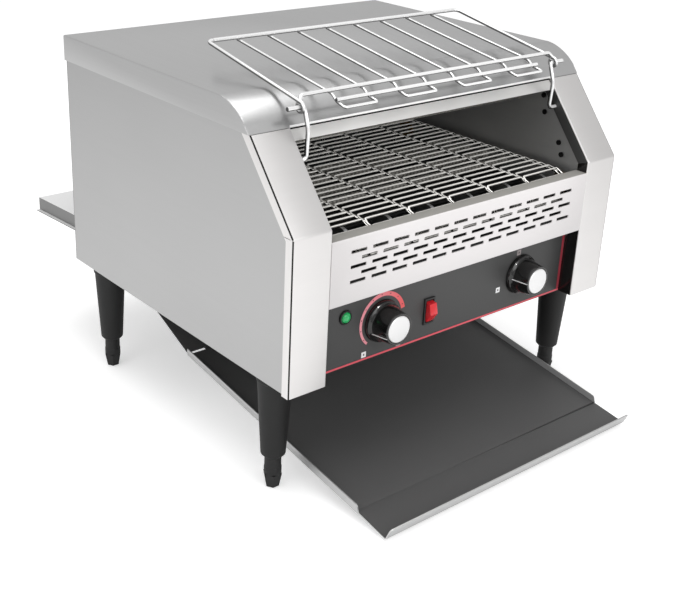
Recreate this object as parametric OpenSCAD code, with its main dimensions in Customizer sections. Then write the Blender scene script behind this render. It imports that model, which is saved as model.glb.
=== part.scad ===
// Conveyor toaster on four legs: a folded stainless casing round a wire belt,
// heaters above and inside the belt, a chute that brings the toast back to a
// tray at the front, and a folding wire feed rack.
// Places are given from the front face of the posts (y = 0) and from the floor
// (z = 0), with x = 0 in the middle; the finished part is centred in depth.

/* [Casing] */
// Width across the front posts
body_w = 465; // [420:1:520]
// Depth from the front of the posts to the back panel
body_d = 416; // [400:1:460]
// Height of the top of the cover above the floor
body_top = 398; // [392:1:420]
// Height of the underside of the casing above the floor
base_z = 128; // [120:1:132]
// Thickness of the folded sheet
sheet = 1.2; // [0.8:0.1:1.6]
// Width of the bay between each inner wall and its side
side_bay = 47; // [44:0.5:50]
// Upstand round the edge of the base pan
pan_lip = 10; // [7:1:14]
// Distance of the front edge of the base pan's opening from the back panel
pan_hole_in = 191; // [181:1:201]
// Land left at the back of the base pan
pan_back_land = 14; // [10:1:18]

/* [Front posts] */
// Height of the bend where the front leans back
knee_z = 289; // [284:1:294]
// How far the leaning front goes back at the cover's front edge
slope_d = 67; // [62:1:72]
// Depth of the flange that folds over the side panel
post_flange = 10; // [8:1:14]
// Depth of the flange that folds into the opening
post_return = 14; // [13:0.5:17]
// How far the posts hang below the base
post_drop = 1.5; // [1:0.5:3]

/* [Top cover] */
// Height of the cover's side band
band_h = 28; // [24:1:32]
// Outer radius of the cover's front bend
cover_r = 56; // [44:1:60]
// Side play between the cover's band and the side panels
cover_gap = 0.2; // [0.1:0.1:0.4]
// Width of the hem under the cover's front edge
hem_w = 5; // [4:1:7]

/* [Fascia] */
// Height of the fascia's lower edge
fascia_z = 358; // [355:1:361]
// Width of the fascia's lower flange
fascia_lip = 9; // [7:1:10]

/* [Grille] */
// Height of the grille's lower edge
grille_z = 208; // [205:1:210]
// Height of the grille's top ledge
ledge_z = 276; // [274:0.5:278]
// Depth of the top ledge
ledge_d = 16; // [14:1:19]
// Number of slots in a long row
slot_count = 12; // [8:1:12]
// Number of rows of slots
slot_rows = 5; // [3:2:5]
// Length of a slot
slot_l = 20; // [16:1:22]
// Height of a slot
slot_h = 3.6; // [2:0.2:4]
// Distance of the first slot's middle from the grille's end
slot_in = 34.25; // [30:0.25:38]
// Distance between the rows
row_pitch = 7.75; // [7:0.25:8.5]
// Height of the top row
row_top_z = 261.5; // [258:0.5:264]

/* [Control panel] */
// Depth of the panel behind the front face
panel_y = 19; // [17:1:20]
// Width of the panel's lower flange
panel_lip = 10; // [8:1:14]
// Radius of the holes that the two spindles pass through
spindle_hole_r = 5; // [4.5:0.5:6]

/* [Knobs] */
// Height of the knob axes
knob_z = 166; // [162:1:168]
// Distance of the speed knob's axis from the panel's left end
speed_in = 87.5; // [83.5:0.5:91.5]
// Distance of the heat selector's axis from the panel's right end
select_in = 73.5; // [67.5:0.5:79.5]
// Radius of a knob's skirt
skirt_r = 23.5; // [22:0.5:25]
// Thickness of a knob's skirt
skirt_t = 4.5; // [4:0.5:6]
// Radius of a knob's grip
grip_r = 20; // [18:0.5:21]
// Radius of a knob's grip at its face
grip_face_r = 17; // [16:0.5:18]
// Length of a knob's grip in front of its skirt
grip_l = 21; // [17:1:24]
// Radius of the metal cap on a knob
cap_r = 14.5; // [13:0.5:15.5]
// Thickness of the metal cap
cap_t = 1.2; // [1:0.1:1.6]
// Depth of the recess that the cap lies in
cap_recess = 0.6; // [0.4:0.1:0.8]
// Gap between a knob and the panel
knob_gap = 0.5; // [0.3:0.1:1]
// Width of the pointer line along a knob
pointer_w = 1.4; // [1:0.1:2]
// Direction of the speed knob's pointer, counted from the right
speed_angle = 204; // [180:1:230]
// Direction of the selector's pointer
select_angle = 180; // [150:1:210]

/* [Lamp and switch] */
// Distance of the lamp's axis from the panel's left end
lamp_in = 37.5; // [31.5:0.5:45.5]
// Height of the lamp above the knob axes
lamp_up = 17; // [12:1:20]
// Radius of the lamp's bezel
lamp_r = 8; // [7:0.5:9]
// Radius of the lamp's lens
lens_r = 6; // [5:0.1:6.4]
// Sideways place of the rocker switch
switch_x = -31; // [-36:1:-26]
// Height of the switch below the knob axes
switch_down = 7; // [4:1:12]
// Width of the switch bezel
switch_w = 15; // [14:1:17]
// Height of the switch bezel
switch_h = 30; // [28:1:32]
// Tilt of the rocker each way
rocker_tilt = 9; // [7:1:10]

/* [Conveyor] */
// Height of the belt's upper surface
belt_top = 276; // [275:0.5:277]
// Gap between the belt and the line of each inner wall
belt_room = 9.5; // [7.5:0.5:15.5]
// Radius of the belt at the middle of its wire, round a shaft
belt_r = 19; // [18:0.5:20]
// Radius of the belt's wire
wire_r = 1.15; // [1:0.05:1.3]
// Distance between the wires of the belt
belt_pitch = 11.6; // [11.2:0.2:12.8]
// Number of bays across the belt
belt_bays = 6; // [4:1:6]
// Depth of the front shaft behind the front face
front_shaft_y = 35; // [34:1:37]
// Distance of the rear shaft's axis from the back panel
rear_shaft_in = 125; // [119:1:131]
// Radius of the shafts
shaft_r = 5; // [4:0.5:6]
// Thickness of a disc on a shaft
disc_t = 4; // [3:0.5:6]
// Running gap between the discs and the belt
disc_gap = 0.35; // [0.3:0.05:0.5]
// Radius of a bearing bush
bush_r = 9; // [8:0.5:10]
// Radius of a bearing bush's flange
bush_flange_r = 12; // [11:0.5:13]
// Thickness of a bearing bush's flange
bush_flange_t = 1.5; // [1:0.5:2]
// Length of a bearing bush outside the wall
bush_l = 5; // [4:1:7]
// Length of a shaft beyond the inner wall
shaft_end = 9; // [8:1:10]

/* [Heaters] */
// Radius of a quartz heater tube
tube_r = 5; // [4:0.5:6]
// Number of upper heaters
upper_count = 4; // [3:1:4]
// Height of the upper heaters
upper_z = 342; // [338:1:344]
// Depth of the first upper heater
upper_y = 112; // [108:1:116]
// Distance between the upper heaters
upper_pitch = 56; // [50:1:58]
// Number of heaters inside the belt
lower_count = 4; // [3:1:4]
// Distance between the heaters inside the belt
lower_pitch = 31; // [28:1:33]
// How far the row of heaters inside the belt lies behind the belt's middle
lower_shift = 5.5; // [3:0.5:8]
// Height of the heaters inside the belt above its lower run
lower_rise = 22; // [20:1:24]
// Radius of a ceramic heater holder
holder_r = 7; // [6.5:0.5:8]
// Length of a ceramic holder outside the wall
holder_l = 8; // [6:1:10]
// Gap between the reflector inside the belt and each shaft's axis
reflector_room = 33; // [30:1:38]
// Height of the upper reflector plate
hood_z = 358; // [357:1:362]

/* [Chute and tray] */
// Gap between the tray and the line of each inner wall
tray_room = 1; // [0.5:0.5:4]
// How far the tray stands out in front
tray_out = 96; // [88:1:104]
// Height of the tray's front edge above the floor
tray_low = 2.5; // [2:0.5:5]
// Distance of the tray's back edge from the back panel
tray_in = 170; // [166:1:174]
// Slope of the tray
tray_tilt = 8.6; // [7:0.1:9]
// Height of the tray's front lip
tray_front_lip = 14; // [10:1:16]
// How far the front lip leans forward
tray_lip_lean = 6; // [4:1:8]
// Height of the tray's side lips
tray_side_lip = 9; // [7:1:12]
// Gap between a side lip and the front edge
tray_lip_gap = 42; // [36:1:50]
// How far the tray pushes in
tray_travel = 80; // [60:1:85]
// Slope of the chute's lower part
chute_tilt = 23.5; // [20:0.5:28]
// Length of the chute's straight lower part
chute_straight = 80; // [70:1:90]
// Radius of the chute's bend
chute_r = 118; // [110:1:122]
// Gap between the chute's end and the tray
chute_gap = 1.8; // [1.6:0.2:3]
// Width of a runner under the tray
runner_w = 14; // [10:1:18]
// Distance of a runner's middle from the tray's edge
runner_in = 34.5; // [20:0.5:64.5]

/* [Rear guard] */
// Distance of the guard's ends from the sides
guard_in = 10.5; // [5:0.5:22.5]
// How far the guard stands out behind
guard_out = 111; // [90:1:120]
// Height of the guard's top where it meets the back panel
guard_z = 177; // [165:1:185]
// Fall of the guard to its back edge
guard_fall = 6; // [4:1:9]
// Depth of the guard's side wall
guard_side = 17; // [14:1:20]
// Width of the turned foot of the side wall
guard_foot = 4; // [3:0.5:6]
// Upstand that is screwed to the back panel
guard_up = 22; // [16:1:28]

/* [Legs and feet] */
// Distance of the leg axes from the sides
leg_in_x = 20; // [19.5:0.5:24]
// Distance of the front leg axes from the front face
leg_in_front = 46; // [42:1:52]
// Distance of the rear leg axes from the back panel
leg_in_back = 47; // [40:1:54]
// Radius of a leg's flange
leg_flange_r = 19; // [18:0.5:19.5]
// Thickness of a leg's flange
leg_flange_t = 4; // [3:0.5:6]
// Radius of a leg at its top
leg_top_r = 17.8; // [16:0.1:18]
// Radius of a leg at its lower end
leg_low_r = 12.8; // [12:0.1:14]
// Height of a leg's lower end above the floor
foot_h = 36; // [32:1:40]
// Radius of a foot's stem
foot_r = 9.2; // [8.5:0.1:9.5]
// Radius of a foot's hexagonal end
hex_r = 9.2; // [8.5:0.1:9.5]
// Height of a foot's hexagonal end
hex_h = 15; // [12:1:18]
// How far a foot screws in from where it stands
foot_in = 10; // [6:1:12]

/* [Drive] */
// Pitch radius of the sprocket on the drive shaft
drive_pitch_r = 18; // [16:0.5:20]
// Pitch radius of the sprocket on the motor
motor_pitch_r = 12; // [11:0.5:13]
// Half width of the chain band about its pitch line
chain_half = 2; // [1.5:0.1:2.4]
// Width of the chain along its pins
chain_w = 5; // [4:0.5:6]
// How far the motor's axis lies in front of the rear shaft
motor_before = 39; // [33:1:45]
// Height of the motor's axis
motor_z = 178; // [172:1:184]
// Radius of the gear motor
motor_r = 26; // [22:1:28]
// Thickness of the gear motor
motor_t = 20; // [16:1:21]
// Thickness of the motor's bracket
bracket_t = 2; // [1.5:0.5:2.5]

/* [Fan] */
// Side of the cooling fan's frame
fan_side = 80; // [76:1:92]
// Thickness of the fan
fan_t = 25; // [20:1:32]
// Sideways place of the fan
fan_x = 30; // [10:1:50]
// Depth of the fan's axis
fan_y = 125; // [115:1:135]
// Number of blades
blade_count = 7; // [5:1:9]
// Pitch angle of a blade
blade_angle = 38; // [25:1:45]

/* [Feed rack] */
// Depth of the arms' pivot
arm_y = 56; // [54:1:58]
// Height of the arms' pivot
arm_z = 340; // [336:1:344]
// Height of the rack's pivot above the arms' pivot
arm_h = 50; // [46:1:54]
// How far the rack's pivot lies behind the arms' pivot
arm_back = 5; // [3:1:7]
// How far the arm bows forward
arm_bow = 7; // [5:1:9]
// Radius of the arms' wire
arm_r = 2.2; // [2:0.1:2.5]
// Distance of the arms from the line of each inner wall
arm_in = 11; // [9.5:0.5:12.5]
// Length of the pin that the rack turns on
arm_pin = 20; // [17:1:22]
// Length of the rack
rack_l = 158; // [140:1:170]
// Tilt of the rack when it is folded on the top
rack_tilt = 10.5; // [8:0.5:13]
// Radius of the rack's frame wire
frame_r = 2; // [1.8:0.1:2.4]
// Radius of the rack's rear wire
rear_r = 2.4; // [2:0.1:2.8]
// Radius of the rack's long wires
long_r = 1.5; // [1.3:0.1:1.8]
// Number of pairs of long wires
rack_pairs = 4; // [3:1:5]
// Lift of the front bar above the side rails
bar_lift = 4.5; // [3.5:0.5:6]
// Distance of the front bar from the rails' front end
bar_back = 4; // [3:0.5:6]
// Distance of the lower bar in front of the front bar
bar_step = 13; // [11:0.5:15]
// Drop of the lower bar below the front bar
rack_drop = 4.4; // [3.8:0.2:6]
// Length of the loops in front of the lower bar
loop_l = 11; // [9:0.5:14]
// Radius of the rack's corners
rack_corner = 7; // [5:1:9]

/* [Electrics] */
// Radius of the cable gland's bore
gland_r = 4.2; // [3.5:0.1:5]
// Distance of the cable gland's axis from the left side
gland_in = 27.5; // [24.5:0.5:30.5]
// Gap between the gland's nut and the base pan's upstand
gland_clear = 1; // [0.5:0.5:4]
// Length of the terminal block
terminal_l = 60; // [40:1:80]

/* [Fits] */
// Radial clearance of a shaft that turns in a bore
fit = 0.05; // [0.03:0.01:0.08]
// Gap between a piece and what it rests on
seat = 0.3; // [0.2:0.05:0.4]

/* [Hidden] */

// One overrun serves every cut
over = 5;
// Facets of a small round, of a large round and of a bend's arc
small_fn = 32;
large_fn = 64;
arc_steps = 9;

// Small sizes
side_flange = 10;
weld = 0.05;
weld_depth = 0.6;
wall_inset = 3;
wall_clear = 4;
wall_foot = 12;
arm_room = 0.5;
arm_foot = 5;
bow_share = 0.6;
tube_room = 0.6;
vent_count = 8;
vent_x = 120;
vent_rise = 142;
vent_pitch = 9;
vent_w = 110;
vent_h = 3.5;
lamp_neck_r = 5;
lamp_neck_l = 12;
lamp_t = 2;
lens_neck_r = 3.5;
lens_t = 2;
switch_rim = 1.5;
switch_t = 2;
switch_wall = 1.2;
switch_l = 16;
rocker_pin_r = 1.2;
rocker_room = 1.5;
rocker_tip = 5;
rocker_peak = 9;
spindle_r = 3;
control_r = 12;
control_l = 12;
selector_r = 16;
selector_l = 24;
skirt_step = 1.5;
pointer_h = 1.5;
leg_grip = 48;
chute_drop = 16;
chute_flange = 12;
bulk_drop = 8;
bulk_short = 5;
runner_grip = 96;
runner_clear = 10;
runner_tab = 20;
link_w = 3;
link_t = 1.6;
link_play = 0.3;
turn_start = 3;
holder_wall = 2;
hood_gap = 11;
hood_back_gap = 24;
hood_lip = 8;
reflector_rise = 6;
reflector_lip = 10;
motor_shaft_r = 4;
chain_off = 25;
web_hole_r = 1.6;
hole_count = 5;
fan_wall = 3;
fan_hub_r = 16;
fan_pin_r = 2;
spoke_t = 3;
blade_t = 1.2;
blade_w = 22;
board_w = 90;
board_d = 60;
board_room = 35;
board_t = 1.6;
board_in = 5;
pillar_h = 8;
part_h = 30;
part_r = 8;
eye_play = 0.4;
loop_fall = 0.5;
loop_flare = 1;
screw_head_r = 3;
screw_head_t = 1.5;
screw_depth_shares = [1.1, 1.04, 0.67, 0.59];
screw_rise_shares = [0.74, 0.51, 0.14, -0.02];
gland_nut_t = 5;
gland_nut_r = 9;
gland_thread_r = 7;
gland_l = 14;
terminal_count = 5;
terminal_w = 20;
terminal_in = 8;
terminal_gap = 75;

// The casing's derived planes
cavity_w = body_w - 2 * side_bay;
half_w = body_w / 2;
half_cavity = cavity_w / 2;
panel_x = half_w - sheet;
pan_x = panel_x - sheet;
wall_x = half_cavity + sheet;
wall_out = wall_x + sheet;
slope_z = body_top - band_h;
slope = atan2(slope_z - knee_z, slope_d);
under = body_top - sheet;
pan_top = base_z + sheet;
behind_panel = panel_y + sheet;
inside_back = body_d - sheet;
bend_z = body_top - cover_r * (1 - cos(slope));
bend_y = (bend_z - knee_z) / tan(slope) + cover_r * sin(slope);

// The whole part is centred between the tray's front and the guard's back
lip_rise = tray_front_lip - sheet;
front_y = -tray_out - tray_lip_lean - sheet * lip_rise / norm([tray_lip_lean, lip_rise]);
back_y = body_d + guard_out;
mid_y = (front_y + back_y) / 2;

wall_top = slope_z - wall_clear;
wall_back = body_d - pan_back_land;
pan_hole_y = body_d - pan_hole_in;
slot_pitch = (cavity_w - 2 * slot_in) / (slot_count - 1);
guard_w = body_w - 2 * guard_in;
vent_z = base_z + vent_rise;
board_y = pan_hole_y - board_room - board_d;
terminal_y = inside_back - terminal_l - terminal_gap;
leg_bore_z = foot_h + leg_grip;
chain_x = wall_out + chain_off;

// The belt's derived places
belt_w = cavity_w - 2 * belt_room;
belt_z = belt_top - wire_r;
shaft_z = belt_z - belt_r;
rear_shaft_y = body_d - rear_shaft_in;
shaft_span = rear_shaft_y - front_shaft_y;
motor_y = rear_shaft_y - motor_before;
low_run_z = shaft_z - belt_r;
lower_run = (lower_count - 1) * lower_pitch;
lower_y = front_shaft_y + (shaft_span - lower_run) / 2 + lower_shift;
disc_r = belt_r - wire_r - disc_gap;
bay_w = (belt_w - 2 * wire_r) / belt_bays;
run_gaps = floor(shaft_span / belt_pitch);
run_pitch = shaft_span / run_gaps;
turn_gaps = floor(PI * belt_r / belt_pitch);
bore_r = shaft_r + fit;

// The tray's and the chute's lines
tray_w = cavity_w - 2 * tray_room;
tray_back = body_d - tray_in;
chute_w = tray_w - 2 * (sheet + seat);
runner_x = tray_w / 2 - runner_in;
tray_fall = tan(tray_tilt);
function tray_z(y) = tray_low + sheet + (y + tray_out) * tray_fall;
chute_y = tray_back + chute_gap;
chute_z = tray_z(tray_back) + chute_gap;
straight_y = chute_y + chute_straight * cos(chute_tilt);
straight_z = chute_z + chute_straight * sin(chute_tilt);
curve_y = straight_y - chute_r * sin(chute_tilt);
curve_z = straight_z + chute_r * cos(chute_tilt);
chute_back = curve_y + chute_r;
function chute_under(y) =
    y < straight_y ? chute_z + (y - chute_y) * tan(chute_tilt) - sheet / cos(chute_tilt)
                   : curve_z - sqrt((chute_r + sheet) * (chute_r + sheet) - (y - curve_y) * (y - curve_y));
chute_top = shaft_z - chute_drop;
bulk_z = low_run_z - bulk_drop;
bulk_back = rear_shaft_y - bulk_short;
runner_start = tray_back - runner_grip;
runner_end = tray_back + tray_travel + runner_clear;

// Places at the control panel
knob_y = panel_y - knob_gap;
skirt_y = knob_y - skirt_t;
face_y = skirt_y - grip_l;
speed_x = speed_in - half_cavity;
select_x = half_cavity - select_in;
lamp_x = lamp_in - half_cavity;
lamp_z = knob_z + lamp_up;
switch_z = knob_z - switch_down;

// The legs' places
leg_x = half_w - leg_in_x;
leg_front = leg_in_front;
leg_rear = body_d - leg_in_back;

// The cable gland's place
gland_x = gland_in - half_w;
gland_z = pan_top + pan_lip + gland_nut_r + gland_clear;

// The rack's derived sizes
arm_x = half_cavity - arm_in;
rack_x = arm_x + arm_r + eye_play + frame_r;
pivot_y = arm_y + arm_back;
pivot_z = arm_z + arm_h;
long_count = 2 * rack_pairs;
long_pitch = 2 * rack_x / (long_count + 1);

// Lean of the front at height z, inset by d from the outer face
function lean_y(z, d) = (z - knee_z) / tan(slope) + d / sin(slope);
function knee_in(d) = [d, knee_z + d * tan(slope / 2 - 45)];
function front_line(d, z0, z1) =
    [[d, z0], knee_in(d), [lean_y(z1, 0) + d * sin(slope), z1 - d * cos(slope)]];
function front_bend(d) =
    [for (i = [0:arc_steps])
        let (a = slope * (1 - i / arc_steps))
        [bend_y - (cover_r - d) * sin(a), body_top - cover_r + (cover_r - d) * cos(a)]];

// Copy of a bent line with mitred corners, moved to its left by t
function unit(a, b) = (b - a) / norm(b - a);
function left(v) = [-v[1], v[0]];
function shifted(p, t) =
    [for (i = [0:len(p) - 1])
        let (n = left(i == 0 ? unit(p[0], p[1]) : unit(p[i - 1], p[i])),
             k = left(i == len(p) - 1 ? n_last(p) : unit(p[i], p[i + 1])),
             m = n + k)
        p[i] + 2 * t * m / (m * m)];
function n_last(p) = unit(p[len(p) - 2], p[len(p) - 1]);
function backwards(p) = [for (i = [len(p) - 1:-1:0]) p[i]];

module placed() {
    translate([0, -mid_y, 0])
        children();
}

// A profile in depth and height, carried across the width
module across(x0, x1) {
    translate([x0, 0, 0])
        rotate([90, 0, 90])
            linear_extrude(x1 - x0)
                children();
}

// A profile in width and height, carried from front to back
module along(y0, y1) {
    translate([0, y1, 0])
        rotate([90, 0, 0])
            linear_extrude(y1 - y0)
                children();
}

// A sheet bent along a line, its thickness to the left of the line
module bent(line, x0, x1, t = sheet) {
    across(x0, x1)
        polygon(concat(line, backwards(shifted(line, t))));
}

// A block between two corners
module block(a, b) {
    translate(a)
        cube(b - a);
}

// A round bar between two points
module bar(a, b, r) {
    d = b - a;
    h = norm(d);
    translate(a)
        rotate([0, acos(d[2] / h), atan2(d[1], d[0])])
            cylinder(h = h, r = r, $fn = small_fn);
}

// A bent wire with round corners
module wire(points, r) {
    for (i = [0:len(points) - 2])
        bar(points[i], points[i + 1], r);
    for (i = [1:len(points) - 2])
        translate(points[i])
            sphere(r = r + weld, $fn = small_fn);
}

// A cylinder across the width, centred on a depth and height
module cross_rod(x0, x1, y, z, r) {
    translate([x0, y, z])
        rotate([0, 90, 0])
            cylinder(h = x1 - x0, r = r, $fn = large_fn);
}

// A cylinder from front to back, centred on a place across and a height
module deep_rod(y0, y1, x, z, r, tip = -1) {
    translate([x, y1, z])
        rotate([90, 0, 0])
            cylinder(h = y1 - y0, r1 = r, r2 = tip < 0 ? r : tip, $fn = large_fn);
}

// The same piece on the other side
module other_side() {
    mirror([1, 0, 0])
        children();
}

module both_sides() {
    children();
    other_side()
        children();
}

// Base pan: the floor of the casing with an upstand round it and the opening
// that the toast drops through
module base_pan_shape() {
    difference() {
        block([-pan_x, behind_panel, base_z], [pan_x, inside_back, pan_top + pan_lip]);
        block([-pan_x + sheet, behind_panel + sheet, pan_top],
              [pan_x - sheet, inside_back - sheet, pan_top + pan_lip + over]);
        block([-half_cavity, pan_hole_y, base_z - over],
              [half_cavity, body_d - pan_back_land, pan_top + over]);
        both_sides()
            block([wall_x - seat, behind_panel - over, pan_top],
                  [wall_out + seat, behind_panel + sheet + over, pan_top + pan_lip + over]);
    }
}

module base_pan() {
    color("#9A9A9A")
        placed()
            base_pan_shape();
}

// Side panel: flat, with flanges turned in along its top and its back
module side_shape() {
    across(pan_x, panel_x)
        polygon(concat([[sheet, base_z], knee_in(sheet)], front_bend(sheet),
                       [[inside_back, under], [inside_back, base_z]]));
    block([pan_x - side_flange, bend_y, under - sheet], [panel_x - sheet / 2, inside_back, under]);
    block([pan_x - side_flange, inside_back - sheet, pan_top + pan_lip + seat],
          [panel_x - sheet / 2, inside_back, under]);
}

module side_panel_right() {
    color("#BBBBBB")
        placed()
            side_shape();
}

module side_panel_left() {
    color("#BBBBBB")
        placed()
            other_side()
                side_shape();
}

// Front post: a channel that follows the upright and the leaning front
module strip(x0, x1, d0, d1, z0, z1) {
    across(x0, x1)
        polygon(concat(front_line(d0, z0, z1), backwards(front_line(d1, z0, z1))));
}

module post_shape() {
    foot_z = base_z - post_drop;
    difference() {
        union() {
            strip(half_cavity, half_w, 0, sheet, foot_z, slope_z);
            strip(panel_x, half_w, 0, post_flange, foot_z, slope_z);
            strip(half_cavity, wall_x, 0, post_return, foot_z, slope_z);
            block([half_cavity, sheet / 2, foot_z], [wall_x, behind_panel, ledge_z]);
        }
        cross_rod(half_cavity - over, wall_x + over, arm_y, arm_z, arm_r + arm_room);
    }
}

module front_post_right() {
    color("#E4E4E4")
        placed()
            post_shape();
}

module front_post_left() {
    color("#EDEBEA")
        placed()
            other_side()
                post_shape();
}

// Top cover: the top with its round front bend, a hemmed front edge and bands
// that hang down over the sides and the back
module top_cover() {
    cover_x = half_w + cover_gap + sheet;
    lip = [lean_y(slope_z, 0), slope_z];
    hem_top = slope_z + hem_w * sin(slope);
    color("#B4B4B4")
        placed() {
            bent(concat([lip], front_bend(0),
                        [[body_d + sheet, body_top], [body_d + sheet, slope_z]]),
                 -cover_x, cover_x, -sheet);
            across(-half_cavity, half_cavity)
                polygon([lip, [lean_y(hem_top, 0), hem_top],
                         [lean_y(hem_top, 2 * sheet), hem_top],
                         [lean_y(slope_z, 2 * sheet), slope_z]]);
            both_sides()
                across(cover_x - sheet, cover_x)
                    polygon(concat([lip], front_bend(0),
                                   [[body_d + sheet, body_top],
                                    [body_d + sheet, slope_z]]));
        }
}

// Back panel with vents for the drive and the electrics
module back_panel() {
    color("#B0B0B0")
        placed()
            difference() {
                block([-panel_x, inside_back, base_z], [panel_x, body_d, under]);
                for (side = [-1, 1])
                    for (i = [0:vent_count - 1])
                        translate([side * vent_x, inside_back - over, vent_z + i * vent_pitch])
                            translate([-vent_w / 2, 0, 0])
                                cube([vent_w, sheet + 2 * over, vent_h]);
                deep_rod(inside_back - over, body_d + over, gland_x, gland_z, gland_thread_r + seat);
            }
}

// Fascia: the leaning plate under the cover's front edge, with a flange
// turned in along its lower edge
module fascia() {
    inset = 2 * sheet;
    top = slope_z + hem_w * sin(slope);
    color("#D8D8D8")
        placed()
            bent([[lean_y(top, inset), top], [lean_y(fascia_z, inset), fascia_z],
                  [lean_y(fascia_z, inset) + fascia_lip, fascia_z]],
                 -half_cavity, half_cavity);
}

// Inner wall: carries the shafts, the heaters and the rack's arms
module wall_shape() {
    difference() {
        across(wall_x, wall_out)
            polygon(concat([[wall_inset, pan_top]], [knee_in(wall_inset)],
                           [[lean_y(wall_top, wall_inset), wall_top],
                            [wall_back, wall_top], [wall_back, pan_top]]));
        for (y = [front_shaft_y, rear_shaft_y])
            cross_rod(wall_x - over, wall_out + over, y, shaft_z, bush_r);
        for (i = [0:upper_count - 1])
            cross_rod(wall_x - over, wall_out + over, upper_y + i * upper_pitch, upper_z,
                      tube_r + tube_room);
        for (i = [0:lower_count - 1])
            cross_rod(wall_x - over, wall_out + over, lower_y + i * lower_pitch,
                      low_run_z + lower_rise, tube_r + tube_room);
        cross_rod(wall_x - over, wall_out + over, arm_y, arm_z, arm_r + fit);
    }
    block([wall_x + sheet / 2, behind_panel + sheet + seat, pan_top],
          [wall_out + wall_foot, pan_hole_y, pan_top + sheet]);
}

module inner_wall_right() {
    color("#5A5A5A")
        placed()
            wall_shape();
}

module inner_wall_left() {
    color("#5A5A5A")
        placed()
            other_side()
                wall_shape();
}

// Grille: the white plate under the belt's front end, with staggered slots
module grille_panel() {
    long_run = (slot_count - 1) * slot_pitch;
    color("#E6E3E3")
        placed()
            difference() {
                union() {
                    block([-half_cavity, 0, grille_z], [half_cavity, sheet, ledge_z]);
                    block([-half_cavity, 0, ledge_z - sheet], [half_cavity, ledge_d, ledge_z]);
                    block([-half_cavity, 0, grille_z], [half_cavity, behind_panel, grille_z + sheet]);
                }
                for (row = [0:slot_rows - 1])
                    for (i = [0:slot_count - 1 - row % 2])
                        translate([-long_run / 2 + (i + row % 2 / 2) * slot_pitch, 0,
                                   row_top_z - row * row_pitch])
                            block([-slot_l / 2, -over, -slot_h / 2],
                                  [slot_l / 2, sheet + over, slot_h / 2]);
            }
}

// Control panel: the dark plate set back between the posts
module control_panel() {
    low = base_z - sheet;
    color("#474747")
        placed()
            difference() {
                union() {
                    block([-half_cavity, panel_y, low], [half_cavity, behind_panel, grille_z]);
                    block([-half_cavity, panel_y, low], [half_cavity, behind_panel + panel_lip, base_z]);
                }
                for (x = [speed_x, select_x])
                    deep_rod(panel_y - over, behind_panel + over, x, knob_z, spindle_hole_r);
                deep_rod(panel_y - over, behind_panel + over, lamp_x, lamp_z, lamp_neck_r);
                block([switch_x - switch_w / 2 + switch_rim, panel_y - over,
                       switch_z - switch_h / 2 + switch_rim],
                      [switch_x + switch_w / 2 - switch_rim, behind_panel + over,
                       switch_z + switch_h / 2 - switch_rim]);
            }
}

// Leg: a flanged tapering tube with a bore for the foot
module leg_shape(x, y) {
    translate([x, y, 0])
        rotate_extrude($fn = large_fn)
            polygon([[foot_r + fit, foot_h], [leg_low_r, foot_h],
                     [leg_top_r, base_z - leg_flange_t], [leg_flange_r, base_z - leg_flange_t],
                     [leg_flange_r, base_z], [0, base_z], [0, leg_bore_z],
                     [foot_r + fit, leg_bore_z]]);
}

// Foot: a stem that screws in the leg, with a step and a hexagonal end
module foot_shape(x, y) {
    translate([x, y, 0]) {
        translate([0, 0, hex_h])
            cylinder(h = leg_bore_z - foot_in - seat - hex_h, r = foot_r, $fn = large_fn);
        cylinder(h = hex_h, r = hex_r / cos(180 / 6), $fn = 6);
    }
}

module leg(x, y) {
    color("#303030")
        placed()
            leg_shape(x, y);
}

module foot(x, y) {
    color("#2A2A2A")
        placed()
            foot_shape(x, y);
}

module leg_front_left() { leg(-leg_x, leg_front); }
module leg_front_right() { leg(leg_x, leg_front); }
module leg_rear_left() { leg(-leg_x, leg_rear); }
module leg_rear_right() { leg(leg_x, leg_rear); }
module foot_front_left() { foot(-leg_x, leg_front); }
module foot_front_right() { foot(leg_x, leg_front); }
module foot_rear_left() { foot(-leg_x, leg_rear); }
module foot_rear_right() { foot(leg_x, leg_rear); }

// Chute: catches the toast behind the belt and bends it forward under the casing
module toast_chute() {
    turn = 90 - chute_tilt;
    arc = [for (i = [0:arc_steps])
        let (a = chute_tilt + turn * i / arc_steps)
        [curve_y + chute_r * sin(a), curve_z - chute_r * cos(a)]];
    color("#484848")
        placed()
            bent(concat([[chute_y, chute_z]], arc,
                        [[chute_back, chute_top], [inside_back - sheet, chute_top],
                         [inside_back - sheet, chute_top + chute_flange]]),
                 -chute_w / 2, chute_w / 2, -sheet);
}

// Bulkhead: the floor under the belt, which keeps crumbs and heat off the
// electrics and leads down to the opening in the base pan
module bulkhead() {
    color("#8C8C8C")
        placed()
            bent([[sheet + seat, bulk_z], [bulk_back, bulk_z],
                  [pan_hole_y, base_z], [pan_hole_y, base_z - sheet]],
                 -half_cavity, half_cavity, sheet);
}

// Runners: two strips under the chute that the tray slides on
module tray_runners() {
    drop = sheet + seat;
    tab_end = runner_end + runner_tab;
    color("#5C5C5C")
        placed()
            both_sides()
                translate([runner_x, 0, 0])
                    bent([[runner_start, tray_z(runner_start) - drop],
                          [runner_end, tray_z(runner_end) - drop],
                          [runner_end, chute_under(runner_end) - sheet],
                          [tab_end, chute_under(tab_end) - sheet]],
                         -runner_w / 2, runner_w / 2, -sheet);
}

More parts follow.
